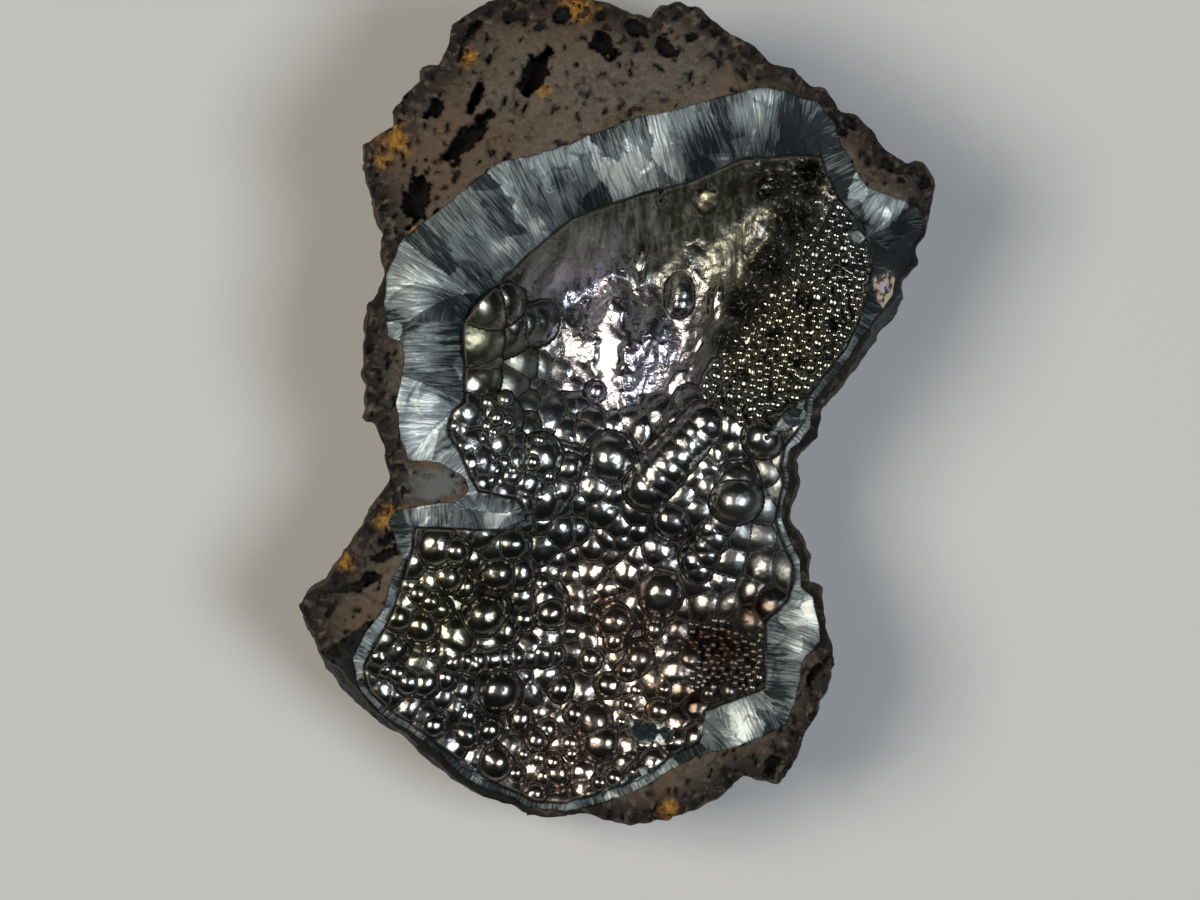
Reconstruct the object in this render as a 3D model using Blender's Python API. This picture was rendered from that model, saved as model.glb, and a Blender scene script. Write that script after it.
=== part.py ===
"""A hand specimen of goethite, lying on its back with its hollow facing up.

A brown rock, the matrix, holds a black crust of goethite in the hollow of its front. The crust's
broken edge is a band of radiating fibres, and its free surface is a field of rounded domes.
The plan of every feature is given in pixels of a photograph taken square on to the front, and
heights are in millimetres above the surface that the specimen rests on.
"""

import bpy
import numpy as np
from mathutils import Vector, noise
from mathutils.geometry import delaunay_2d_cdt

# Driving dimensions, in millimetres
LENGTH = 125.0
PHOTO_LENGTH = 834.0
SCALE = LENGTH / PHOTO_LENGTH
PHOTO_CENTRE = (616.0, 413.0)
CORE = (575.0, 475.0)
EDGE_THICKNESS = 3.0
CRUST_THICKNESS = 7.0
THICKENING_WIDTH = 7.0
GAP = 0.3
BUNDLE_WIDTH = 2.6
BUNDLE_LENGTH = 9.0
BUNDLE_LEAN = 1.5
OUTLINE_WAVE = 0.3
OUTLINE_WAVE_LENGTH = 1.7

# A strip of rock between crust and edge narrower than the first width only backs the crust, and
# one wider than the second shows as a rim, level with the crust
BACKING_WIDTH = 1.5
RIM_WIDTH = 3.6
BACKING_LIP = 0.5

# Share of the way down the side where the specimen is widest, and the size of the back there
WIDEST = 0.3
BACK_SHARE = 0.84

# Share of a dome's radius by which the middle of its sphere is sunk in what it grows on
SINK = 0.35

# Seeds of the scattered small domes, and of the way that each broken facet leans
SEED = 7
FACET_SEED = 1795826270

# How finely the surfaces are laid out, in pixels, before they are thinned out
EDGE_STEP = 13.0
CRUST_STEP = 3.5
RIM_STEP = 6.0
FLOOR_STEP = 36.0
SIDE_STEP = 8.0
SIDE_LEVELS = 16

# Share of the fine triangles that each object keeps
CRUST_KEEP = 0.112
MATRIX_KEEP = 0.25

# Outline of the whole specimen, clockwise from the top: x, y, and how far inside it the front
# edge stands, because the side flares out behind that edge
SILHOUETTE = [
    (488, 1, 3), (520, -3, 3), (560, -4, 3), (600, 0, 3), (629, 13, 3), (651, 19, 3), (660, 8, 3),
    (676, 3, 3), (696, 7, 3), (732, 36, 3), (756, 48, 3), (774, 66, 3), (794, 69, 3), (812, 87, 3),
    (825, 89, 3), (839, 109, 3), (857, 115, 3), (872, 132, 3), (888, 152, 3), (910, 163, 3),
    (924, 161, 4), (937, 185, 4), (933, 212, 4), (930, 234, 4), (921, 248, 4), (923, 268, 6),
    (908, 280, 6), (908, 297, 8), (883, 333, 12), (862, 360, 6), (851, 377, 4), (824, 407, 3),
    (820, 438, 3), (803, 452, 3), (797, 460, 3), (800, 484, 3), (792, 507, 3), (792, 519, 3),
    (802, 538, 3), (811, 557, 3), (811, 583, 3), (824, 590, 3), (827, 615, 3), (830, 638, 3),
    (835, 645, 3), (837, 663, 4), (832, 682, 4), (821, 704, 4), (819, 717, 4), (808, 737, 4),
    (800, 760, 4), (789, 780, 4), (780, 786, 4), (760, 783, 4), (745, 779, 4), (737, 787, 4),
    (719, 802, 5), (693, 815, 5), (671, 824, 5), (634, 830, 5), (606, 826, 5), (578, 819, 4),
    (564, 824, 4), (546, 824, 4), (524, 824, 6), (513, 816, 8), (483, 814, 13), (451, 796, 14),
    (425, 771, 13), (398, 746, 13), (380, 736, 14), (352, 712, 16), (335, 685, 14), (317, 657, 6),
    (308, 632, 4), (295, 605, 3), (311, 587, 3), (326, 580, 3), (344, 548, 3), (361, 523, 3),
    (372, 507, 3), (388, 479, 3), (381, 444, 3), (373, 423, 3), (365, 417, 3), (363, 352, 3),
    (367, 303, 3), (377, 291, 3), (384, 274, 3), (378, 251, 3), (382, 234, 3), (371, 200, 3),
    (364, 177, 3), (363, 145, 3), (393, 126, 3), (391, 112, 3), (405, 95, 3), (420, 82, 3),
    (422, 69, 3), (438, 65, 3), (448, 46, 3), (449, 27, 3), (475, 10, 3),
]

# Line where the crust meets the brown rock
CONTACT = [
    (405, 241), (450, 205), (475, 185), (500, 165), (530, 160), (560, 150), (600, 135), (640, 120),
    (680, 112), (720, 100), (765, 90), (790, 98), (815, 105), (832, 125), (840, 150), (865, 190),
    (905, 203), (922, 214), (921, 228), (912, 245), (910, 264), (896, 274), (893, 294), (868, 326),
    (852, 350), (840, 370), (813, 400), (809, 430), (790, 450), (786, 466), (789, 484), (782, 506),
    (782, 522), (791, 542), (800, 560), (801, 586), (812, 596), (817, 618), (820, 640), (802, 662),
    (795, 700), (785, 725), (740, 745), (700, 755), (680, 765), (640, 790), (590, 808), (566, 812),
    (546, 812), (526, 808), (512, 798), (487, 791), (464, 778), (440, 756), (412, 733), (392, 722),
    (374, 706), (360, 690), (352, 658), (367, 632), (386, 605), (390, 587), (404, 558), (390, 523),
    (396, 509), (425, 505), (455, 502), (469, 492), (466, 478), (440, 463), (409, 460), (402, 440),
    (398, 402), (405, 368), (405, 345), (390, 337), (386, 306), (388, 276),
]

# Edge of the domed skin: between it and the contact the crust is broken across its fibres
SKIN = [
    (820, 158), (790, 157), (740, 160), (690, 182), (640, 195), (600, 208), (570, 220), (545, 240),
    (528, 255), (484, 297), (463, 322), (463, 345), (465, 402), (452, 412), (448, 432), (462, 458),
    (478, 492), (520, 500), (528, 520), (500, 530), (465, 528), (415, 526), (412, 550), (400, 585),
    (392, 612), (376, 642), (362, 668), (368, 692), (392, 714), (420, 732), (446, 752), (472, 776),
    (500, 788), (535, 804), (566, 806), (600, 795), (640, 780), (678, 755), (700, 742), (706, 712),
    (745, 697), (765, 688), (765, 622), (790, 598), (794, 565), (784, 545), (776, 520), (784, 484),
    (781, 466), (786, 446), (803, 424), (808, 396), (834, 364), (848, 345), (860, 318), (868, 290),
    (872, 262), (862, 228), (838, 200), (828, 180),
]

# Height of the smooth surface that the domes, fibres and pits stand on: x, y, millimetres
RELIEF = [
    (488, 5, 37), (560, 0, 37), (629, 15, 38), (700, 12, 38), (774, 66, 39), (839, 109, 39),
    (888, 152, 38), (930, 185, 35), (925, 235, 33), (905, 262, 31), (895, 295, 31), (862, 355, 34),
    (824, 405, 34), (800, 455, 32), (797, 500, 30), (808, 570, 31), (830, 620, 33), (833, 680, 32),
    (800, 760, 30), (745, 782, 29), (690, 815, 28), (634, 828, 26), (565, 822, 24), (515, 808, 24),
    (470, 795, 25), (433, 765, 26), (392, 728, 27), (352, 692, 28), (320, 655, 29), (298, 605, 29),
    (340, 560, 32), (374, 507, 33), (386, 470, 35), (368, 400, 36), (366, 320, 37), (380, 270, 38),
    (375, 200, 38), (366, 145, 37), (405, 95, 38), (440, 60, 38), (560, 100, 41), (660, 70, 40.5),
    (450, 160, 41), (760, 80, 40.5), (520, 40, 40), (410, 240, 41), (395, 300, 39.5),
    (385, 420, 38), (430, 485, 37), (350, 600, 33), (400, 540, 34.5), (340, 640, 31),
    (790, 705, 33), (730, 765, 31), (640, 803, 27.5), (820, 158, 38.5), (740, 160, 37.5),
    (690, 182, 36.5), (640, 195, 36.5), (570, 220, 36.5), (528, 255, 36.5), (484, 297, 36.5),
    (463, 345, 36), (465, 402, 35), (415, 421, 37), (440, 430, 36), (765, 205, 30), (700, 232, 27),
    (640, 250, 25.5), (565, 290, 25), (606, 345, 27.5), (680, 300, 25), (540, 320, 27),
    (500, 380, 29), (560, 390, 25), (655, 385, 25.5), (645, 330, 25), (600, 270, 24.5),
    (700, 360, 28), (720, 420, 32), (745, 380, 33.5),
    (790, 320, 35.5), (830, 250, 38), (860, 210, 38.5), (872, 268, 37.5), (858, 325, 36.5),
    (812, 385, 35.5), (770, 420, 33.5), (497, 430, 33), (540, 470, 32), (600, 470, 30),
    (670, 450, 31), (740, 470, 31.5), (770, 450, 32.5), (480, 500, 34), (700, 540, 29),
    (440, 520, 34), (560, 540, 28), (640, 560, 26.5), (620, 620, 25.5), (690, 620, 26),
    (740, 560, 28.5), (780, 590, 30.5), (720, 650, 27.5), (770, 650, 31), (640, 700, 25),
    (560, 700, 24.5), (600, 760, 24.5), (540, 780, 24), (690, 730, 27), (500, 560, 29.5),
    (440, 560, 32), (400, 610, 32), (470, 620, 29), (520, 650, 26.5), (430, 680, 28.5),
    (380, 680, 29.5), (470, 740, 25.5), (420, 735, 27.5),
]

# Domes of the skin, large ones first: x, y, radius in pixels
MIDDLE_DOMES = [
    (737, 482, 27), (736, 500, 26), (662, 592, 28), (610, 458, 28), (497, 418, 27), (540, 457, 25),
    (527, 322, 25), (762, 438, 22), (671, 519, 22), (713, 528, 18), (707, 545, 18), (696, 560, 18),
    (655, 470, 22), (675, 458, 22), (695, 440, 22), (681, 291, 16), (681, 303, 16), (568, 468, 16),
    (596, 392, 13),
]
MIDDLE_BUMPS = [
    (481, 418, 8), (497, 418, 8), (508, 422, 7), (487, 426, 7), (494, 432, 7), (481, 438, 8),
    (471, 445, 8), (476, 451, 7), (487, 447, 7), (491, 457, 8), (496, 470, 9), (491, 480, 8),
    (533, 462, 8), (531, 480, 7), (549, 476, 8), (523, 494, 9), (509, 492, 8), (520, 446, 8),
    (538, 496, 9), (540, 440, 7), (512, 470, 7), (505, 400, 9), (488, 403, 8), (556, 492, 8),
]
LOWER_LEFT_DOMES = [
    (436, 544, 25), (511, 544, 20), (497, 573, 22), (519, 572, 20), (484, 615, 25), (549, 600, 22),
    (499, 691, 26), (447, 576, 18), (550, 613, 18), (504, 630, 18), (397, 616, 17), (408, 681, 16),
    (424, 682, 18), (542, 655, 16), (420, 626, 20), (456, 550, 15), (465, 587, 14), (542, 584, 12),
    (418, 593, 14), (431, 601, 13), (437, 609, 16), (524, 619, 14), (452, 659, 12), (472, 664, 14),
    (493, 659, 14), (506, 662, 10), (379, 656, 12), (431, 650, 10), (385, 669, 10), (397, 673, 12),
    (445, 678, 14), (383, 710, 12), (460, 707, 9), (467, 716, 13), (486, 730, 15), (536, 741, 12),
    (433, 726, 14), (465, 735, 18),
]
LOWER_DOMES = [
    (489, 731, 14), (494, 763, 22), (483, 786, 11), (536, 743, 14), (547, 731, 15), (523, 756, 9),
    (538, 760, 11), (553, 764, 10), (557, 774, 16), (542, 778, 12), (534, 796, 14), (557, 655, 10),
    (615, 622, 22), (615, 641, 12), (609, 686, 17), (594, 723, 24), (602, 744, 24), (572, 755, 9),
    (627, 671, 12), (627, 691, 8), (637, 691, 8), (629, 706, 10), (622, 723, 8), (615, 779, 12),
    (634, 774, 10), (600, 784, 10), (591, 796, 9), (639, 660, 20), (730, 691, 10), (709, 694, 8),
    (734, 663, 8), (675, 742, 16), (693, 750, 8), (560, 690, 16), (575, 715, 13), (660, 712, 14),
    (590, 660, 15), (655, 630, 13), (690, 660, 13), (665, 690, 12), (520, 720, 15), (515, 775, 12),
    (645, 745, 12), (570, 745, 12),
]

# Fields of small domes, each a polygon, the radii of its domes and how many are tried
RIDGE_FIELD = [
    (700, 420), (715, 380), (745, 350), (770, 320), (790, 290), (805, 255), (830, 215), (858, 215),
    (868, 260), (862, 310), (840, 355), (805, 392), (770, 412), (735, 424),
]
COBBLE_FIELD = [
    (565, 505), (640, 510), (700, 590), (760, 540), (778, 560), (760, 610), (700, 625), (640, 640),
    (575, 645), (560, 590),
]
WALL_FIELD = [(480, 335), (530, 345), (555, 385), (590, 410), (560, 430), (520, 400), (485, 395)]
LEFT_FIELD = [
    (405, 535), (530, 530), (565, 640), (560, 790), (500, 785), (440, 745), (375, 695), (395, 620),
]
LOW_FIELD = [(560, 640), (700, 630), (760, 620), (755, 690), (700, 730), (640, 775), (565, 800)]
FIELDS = [
    (RIDGE_FIELD, 5.0, 7.5, 500),
    (COBBLE_FIELD, 8.0, 13.0, 260),
    (WALL_FIELD, 9.0, 13.0, 80),
    (LEFT_FIELD, 8.0, 10.0, 160),
    (LOW_FIELD, 8.0, 11.0, 160),
]

# Pits in the brown rock: x, y, half length, half width, turn in degrees, depth in millimetres
PITS = [
    (536, 75, 26, 13, 60, 5.5), (477, 99, 16, 7, 70, 4.0), (467, 144, 34, 11, 48, 5.0),
    (436, 110, 15, 8, 60, 3.5), (418, 200, 28, 14, 80, 5.0), (459, 207, 7, 4, 60, 2.0),
    (605, 48, 19, 11, -50, 4.0), (473, 35, 14, 8, 60, 3.0), (438, 219, 9, 5, 70, 2.0),
    (637, 32, 14, 9, -40, 3.0), (666, 50, 13, 8, -30, 3.0), (690, 40, 8, 5, 0, 2.0),
    (704, 28, 7, 4, 20, 2.0), (885, 166, 11, 6, -60, 2.5), (847, 124, 11, 5, -50, 2.5),
    (347, 588, 14, 5, 20, 2.5), (366, 580, 16, 7, 40, 3.0), (390, 538, 15, 6, 25, 2.5),
    (386, 554, 17, 6, 20, 3.0), (812, 675, 14, 5, 60, 2.5), (772, 765, 12, 9, 30, 3.0),
]

# Large broken faces of the side and back: compass angle, lean in degrees, and the height in
# millimetres at which each starts to cut in below the widest line
BREAKS = [
    (-8, 42, 22), (22, 34, 25), (48, 50, 20), (78, 40, 26), (104, 55, 16), (128, 38, 27),
    (152, 48, 20), (183, 36, 24), (207, 46, 17), (232, 40, 22), (258, 52, 15), (281, 36, 20),
    (306, 47, 18), (333, 40, 21),
]


def plan(points):
    """Millimetres from the specimen's centre, for photo pixels."""
    points = np.asarray(points, float)
    return np.stack(
        [(points[:, 0] - PHOTO_CENTRE[0]) * SCALE, (PHOTO_CENTRE[1] - points[:, 1]) * SCALE], 1
    )


def smooth_step(low, high, values):
    share = np.clip((values - low) / (high - low), 0.0, 1.0)
    return share * share * (3.0 - 2.0 * share)


def is_inside(points, polygon):
    """Which points lie inside a closed polygon."""
    inside = np.zeros(len(points), bool)
    for (x0, y0), (x1, y1) in zip(polygon, np.roll(polygon, -1, axis=0)):
        crosses = (y0 > points[:, 1]) != (y1 > points[:, 1])
        slope = (x1 - x0) / (y1 - y0) if y1 != y0 else 0.0
        inside ^= crosses & (points[:, 0] < x0 + slope * (points[:, 1] - y0))
    return inside


def nearest_on(points, polygon):
    """Distance from each point to a closed polygon, and how far along it the nearest spot lies."""
    best = np.full(len(points), np.inf)
    place = np.zeros(len(points))
    start = 0.0
    for a, b in zip(polygon, np.roll(polygon, -1, axis=0)):
        side = b - a
        length = np.hypot(*side)
        along = np.clip((points - a) @ side / length**2, 0.0, 1.0)
        distance = np.hypot(*(points - a - along[:, None] * side).T)
        closer = distance < best
        best = np.where(closer, distance, best)
        place = np.where(closer, start + along * length, place)
        start += length
    return best, place


def depth_inside(points, polygon):
    """Distance to a closed polygon, positive inside it."""
    return np.where(is_inside(points, polygon), 1.0, -1.0) * nearest_on(points, polygon)[0]


def resampled(rows, step):
    """Points at an even spacing along a closed line; further columns are carried along."""
    rows = np.asarray(rows, float)
    closed = np.vstack([rows, rows[:1]])
    lengths = np.hypot(*np.diff(closed[:, :2], axis=0).T)
    travelled = np.concatenate([[0.0], np.cumsum(lengths)])
    count = int(round(travelled[-1] / step))
    stops = np.linspace(0.0, travelled[-1], count, endpoint=False)
    return np.stack([np.interp(stops, travelled, column) for column in closed.T], 1)


def outward(polygon):
    """Unit vectors that point out of a clockwise polygon at its corners."""
    along = np.roll(polygon, -1, axis=0) - np.roll(polygon, 1, axis=0)
    normals = np.stack([-along[:, 1], along[:, 0]], 1)
    return normals / np.hypot(*normals.T)[:, None]


def roughened(polygon):
    """The same outline, a little uneven, as broken rock is."""
    waves = [noise.noise(Vector((x, y, 0.0)) / OUTLINE_WAVE_LENGTH) for x, y in polygon]
    return polygon + outward(polygon) * (OUTLINE_WAVE * np.array(waves))[:, None]


def bend_kernel(a, b):
    squared = ((a[:, None, :] - b[None, :, :]) ** 2).sum(axis=2)
    return squared * np.log(squared + 1e-9)


def fit_relief():
    """Weights of the thin plate that passes through the relief's heights."""
    rows = np.array(RELIEF, float)
    knots = plan(rows)
    count = len(knots)
    flat = np.hstack([np.ones((count, 1)), knots])
    system = np.zeros((count + 3, count + 3))
    system[:count, :count] = bend_kernel(knots, knots)
    system[:count, count:] = flat
    system[count:, :count] = flat.T
    target = np.concatenate([rows[:, 2], np.zeros(3)])
    return knots, np.linalg.solve(system, target)


KNOTS, WEIGHTS = fit_relief()
CONTACT_LINE = plan(CONTACT)
SKIN_LINE = plan(SKIN)


def relief(points):
    """Height of the smooth surface."""
    plate = bend_kernel(points, KNOTS) @ WEIGHTS[:-3]
    return plate + WEIGHTS[-3] + points @ WEIGHTS[-2:]


def scattered(field, smallest, largest, tries, rng):
    """Small domes at random in a field, none nearer to another than their radii allow."""
    corners = plan(field)
    low = corners.min(axis=0)
    high = corners.max(axis=0)
    spots = rng.uniform(low, high, (tries, 2))
    radii = rng.uniform(smallest, largest, tries) * SCALE
    kept = []
    for spot, radius, inside in zip(spots, radii, is_inside(spots, corners)):
        clear = all(
            np.hypot(spot[0] - x, spot[1] - y) > 0.8 * (radius + other) for x, y, other in kept
        )
        if inside and clear:
            kept.append((spot[0], spot[1], radius))
    return kept


def all_domes():
    """Every dome as centre, radius and the height of its sphere's middle, large ones first."""
    rng = np.random.default_rng(SEED)
    placed = np.array(MIDDLE_DOMES + MIDDLE_BUMPS + LOWER_LEFT_DOMES + LOWER_DOMES, float)
    rows = [(x, y, r * SCALE) for (x, y), r in zip(plan(placed), placed[:, 2])]
    for field, smallest, largest, tries in FIELDS:
        rows += scattered(field, smallest, largest, tries, rng)
    rows = np.array(sorted(rows, key=lambda row: -row[2]))
    ground = relief(rows[:, :2])
    middles = []
    for index, (x, y, radius) in enumerate(rows):
        height = ground[index]
        for (ox, oy, other), middle in zip(rows[:index], middles):
            away = np.hypot(x - ox, y - oy)
            if away < other:
                height = max(height, middle + np.sqrt(other**2 - away**2))
        middles.append(height - SINK * radius)
    return np.column_stack([rows, middles])


DOMES = all_domes()


def with_domes(points, heights):
    """The surface raised to the top of every dome that covers it."""
    tops = heights.copy()
    for x, y, radius, middle in DOMES:
        squared = (points[:, 0] - x) ** 2 + (points[:, 1] - y) ** 2
        covered = squared < radius**2
        top = middle + np.sqrt(radius**2 - squared[covered])
        tops[covered] = np.maximum(tops[covered], top)
    return tops


def chip(point, size, tilt):
    """How far a broken facet stands off at a point: each cell of the rock leans its own way."""
    centre = noise.voronoi(point / size)[1][0]
    return (point / size - centre).dot(noise.noise_vector(centre * 3.1)) * tilt * size


def bundles(points):
    """Steps and leaning blocks of the fibre bundles, which run across the broken edge."""
    distance, place = nearest_on(points, SKIN_LINE)
    steps = np.empty(len(points))
    for index, (across, along) in enumerate(zip(distance, place)):
        spot = Vector((along / BUNDLE_WIDTH, across / BUNDLE_LENGTH, 0.0))
        steps[index] = chip(spot, 1.0, BUNDLE_LEAN)
    return steps


def crust_height(points):
    """Height of the crust's face: domes on the skin, bundles of fibres on its broken edge."""
    ground = relief(points)
    skin = depth_inside(points, SKIN_LINE)
    broken = ground + bundles(points)
    return np.where(skin > 0.0, with_domes(points, ground), broken)


def floor_height(points):
    """Height of the crust's underside, which the rock follows a little lower."""
    depth = nearest_on(points, CONTACT_LINE)[0]
    full = smooth_step(0.0, THICKENING_WIDTH, depth)
    return relief(points) - EDGE_THICKNESS - (CRUST_THICKNESS - EDGE_THICKNESS) * full


def pit_depth(points):
    """How deep the pits go at each point."""
    rows = np.array(PITS, float)
    depth = np.zeros(len(points))
    for (x, y), (long_half, short_half, turn, deep) in zip(plan(rows), rows[:, 2:]):
        angle = np.radians(turn)
        east = points[:, 0] - x
        north = points[:, 1] - y
        along = (east * np.cos(angle) + north * np.sin(angle)) / (long_half * SCALE)
        across = (north * np.cos(angle) - east * np.sin(angle)) / (short_half * SCALE)
        reach = np.hypot(along, across)
        depth = np.maximum(depth, deep * (1.0 - smooth_step(0.35, 1.15, reach)))
    return depth


def rock_height(points, front):
    """Height of the brown rock's face: chipped and pitted, and low where the crust tops it."""
    width = nearest_on(points, CONTACT_LINE)[0] + nearest_on(points, front)[0]
    shown = smooth_step(BACKING_WIDTH, RIM_WIDTH, width)
    rough = np.array([chip(Vector((x, y, 0.0)), 6.0, 0.35) for x, y in points])
    face = relief(points) + rough - pit_depth(points)
    return shown * face + (1.0 - shown) * (floor_height(points) + BACKING_LIP)


def lattice(polygon, hole, step, clearance):
    """Staggered points inside a polygon and outside a hole, clear of both their edges."""
    low = polygon.min(axis=0)
    high = polygon.max(axis=0)
    columns = np.arange(low[0], high[0], step)
    rows = np.arange(low[1], high[1], step * 0.866)
    x, y = np.meshgrid(columns, rows)
    x[1::2] += 0.5 * step
    points = np.stack([x.ravel(), y.ravel()], 1)
    keep = depth_inside(points, polygon) > clearance
    if hole is not None:
        keep &= depth_inside(points, hole) < -clearance
    return points[keep]


def triangulated(points, outline, hole=()):
    """Triangles over flat points, inside the outline and outside the hole, both clockwise."""
    walls = list(zip(outline, np.roll(outline, -1).tolist()))
    walls += list(zip(np.roll(hole, -1).astype(int).tolist(), hole))
    vectors = [Vector(point) for point in points.tolist()]
    faces = [tuple(face) for face in delaunay_2d_cdt(vectors, walls, [], 0, 1e-6, False)[2]]
    owner = {(face[i - 1], face[i]): face for face in faces for i in range(3)}
    closed = set(walls) | {(b, a) for a, b in walls}
    waiting = [owner[edge] for edge in walls if edge in owner]
    outside = set()
    while waiting:
        face = waiting.pop()
        if face in outside:
            continue
        outside.add(face)
        edges = [(face[i - 1], face[i]) for i in range(3)]
        waiting += [owner[b, a] for a, b in edges if (a, b) not in closed and (b, a) in owner]
    return np.array([face for face in faces if face not in outside])


def ring_strip(first, second, count):
    """Triangles between two rings of points that each run clockwise, facing out."""
    here = np.arange(count)
    after = np.roll(here, -1)
    upper = np.stack([first + here, first + after, second + here], 1)
    lower = np.stack([first + after, second + after, second + here], 1)
    return np.vstack([upper, lower])


def raised(points, heights):
    return np.column_stack([points, heights])


def add_solid(name, vertices, faces, is_thinned, keep, material):
    """One closed mesh in metres; only the vertices marked as thinned lose detail."""
    mesh = bpy.data.meshes.new(name)
    mesh.from_pydata((vertices * 0.001).tolist(), [], faces.tolist())
    mesh.materials.append(material)
    solid = bpy.data.objects.new(name, mesh)
    bpy.context.scene.collection.objects.link(solid)
    group = solid.vertex_groups.new(name="thinned")
    group.add(np.flatnonzero(is_thinned).tolist(), 1.0, "REPLACE")
    decimate = solid.modifiers.new("thin_out", "DECIMATE")
    decimate.ratio = keep
    decimate.vertex_group = group.name
    return solid


def surface_material(name, colour, roughness, metallic):
    material = bpy.data.materials.new(name)
    material.use_nodes = True
    shader = material.node_tree.nodes["Principled BSDF"]
    shader.inputs["Base Color"].default_value = (*colour, 1.0)
    shader.inputs["Roughness"].default_value = roughness
    shader.inputs["Metallic"].default_value = metallic
    return material


def crust_outline():
    """Corners of the crust's edge."""
    return roughened(resampled(CONTACT_LINE, EDGE_STEP * SCALE))


def crust_underside(edge):
    """Flat points and triangles that the crust's underside and the rock's floor share."""
    inner = lattice(edge, None, FLOOR_STEP * SCALE, 0.4 * FLOOR_STEP * SCALE)
    points = np.vstack([edge, inner])
    return points, triangulated(points, list(range(len(edge))))


def make_crust():
    edge = crust_outline()
    count = len(edge)
    inner = lattice(edge, None, CRUST_STEP * SCALE, 0.6 * CRUST_STEP * SCALE)
    top = np.vstack([edge, inner])
    top_faces = triangulated(top, list(range(count)))
    under, under_faces = crust_underside(edge)
    vertices = np.vstack(
        [raised(top, crust_height(top)), raised(under, floor_height(under))]
    )
    start = len(top)
    faces = np.vstack([top_faces, under_faces[:, ::-1] + start, ring_strip(0, start, count)])
    is_thinned = np.zeros(len(vertices), bool)
    is_thinned[count:start] = True
    material = surface_material("crust", (0.045, 0.045, 0.05), 0.2, 0.9)
    return add_solid("botryoidal_crust", vertices, faces, is_thinned, CRUST_KEEP, material)


def broken_side(point):
    """How far the side is broken away at a point, in large facets with small chips on them."""
    return 1.6 + chip(point, 24.0, 0.5) + chip(point, 9.0, 0.5)


def cut_by_breaks(arm, height, widest):
    """The share of each arm from the core that the planes of the large broken faces leave."""
    kept = np.ones(len(arm))
    for compass, lean, start in BREAKS:
        angle = np.radians(compass)
        facing = np.array([np.cos(angle), np.sin(angle)])
        reach = (widest @ facing).max()
        allowed = reach - np.maximum(start - height, 0.0) * np.tan(np.radians(lean))
        kept = np.minimum(kept, allowed / np.maximum(arm @ facing, allowed))
    return kept


def side_rings(front, silhouette, heights):
    """Rings of the side, from the front edge out to the widest line and in to the flat back."""
    core = plan([CORE])[0]
    widest = silhouette - core
    rings = []
    for level in range(1, SIDE_LEVELS + 1):
        share = level / SIDE_LEVELS
        spread = smooth_step(0.0, WIDEST, share)
        turn = max(share - WIDEST, 0.0) / (1.0 - WIDEST) * np.pi / 2
        narrowed = BACK_SHARE + (1.0 - BACK_SHARE) * np.cos(turn)
        arm = (front - core + (silhouette - front) * spread) * narrowed
        height = heights * (1.0 - share) ** 1.15
        arm = arm * cut_by_breaks(arm, height, widest)[:, None]
        room = smooth_step(0.0, 0.12, share) * (0.1 + 0.9 * smooth_step(WIDEST, 0.6, share))
        cut = np.array([broken_side(Vector((x, y, z))) for (x, y), z in zip(arm, height)])
        arm = arm * (1.0 - cut.clip(0.0) * room / np.hypot(*arm.T))[:, None]
        rings.append(raised(core + arm, height))
    return rings


def make_matrix():
    edge = crust_outline()
    count = len(edge)
    wall = edge + outward(edge) * GAP
    insets = np.array(SILHOUETTE, float)[:, 2]
    rows = resampled(np.column_stack([plan(SILHOUETTE), insets]), SIDE_STEP * SCALE)
    silhouette = roughened(rows[:, :2])
    front = silhouette - outward(silhouette) * rows[:, 2:] * SCALE
    around = len(front)

    under, under_faces = crust_underside(edge)
    floor = raised(under, floor_height(under) - GAP)
    wall_foot = raised(wall, floor[:count, 2])
    inner = lattice(front, wall, RIM_STEP * SCALE, 0.5 * RIM_STEP * SCALE)
    rim = np.vstack([front, wall, inner])
    rim_faces = triangulated(rim, list(range(around)), list(range(around, around + count)))
    rim_top = raised(rim, rock_height(rim, front))
    rings = side_rings(front, silhouette, rim_top[:around, 2])
    back = rings[-1][:, :2]
    back_faces = triangulated(back, list(range(around)))[:, ::-1]

    foot_start = len(floor)
    rim_start = foot_start + count
    ring_start = rim_start + len(rim)
    faces = [
        under_faces,
        ring_strip(0, foot_start, count),
        ring_strip(rim_start + around, foot_start, count)[:, ::-1],
        rim_faces + rim_start,
    ]
    above = rim_start
    for index in range(SIDE_LEVELS):
        below = ring_start + index * around
        faces.append(ring_strip(above, below, around))
        above = below
    faces.append(back_faces + above)
    vertices = np.vstack([floor, wall_foot, rim_top, *rings])
    is_thinned = np.zeros(len(vertices), bool)
    is_thinned[rim_start:rim_start + around] = True
    is_thinned[rim_start + around + count:above] = True
    material = surface_material("matrix", (0.16, 0.12, 0.09), 0.85, 0.0)
    return add_solid("matrix", vertices, np.vstack(faces), is_thinned, MATRIX_KEEP, material)


def main():
    for thing in list(bpy.data.objects):
        bpy.data.objects.remove(thing)
    noise.seed_set(FACET_SEED)
    make_crust()
    make_matrix()


main()
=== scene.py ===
"""Looks of a goethite specimen: a metallic botryoidal crust in a pitted brown rock, lying face up.

Plans are in pixels of a photograph taken square on to the front, heights in millimetres above the
surface that the specimen rests on, as in the construction; the meshes are in metres.
"""

import bpy
import numpy as np
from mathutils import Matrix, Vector, noise
from mathutils.geometry import delaunay_2d_cdt


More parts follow.
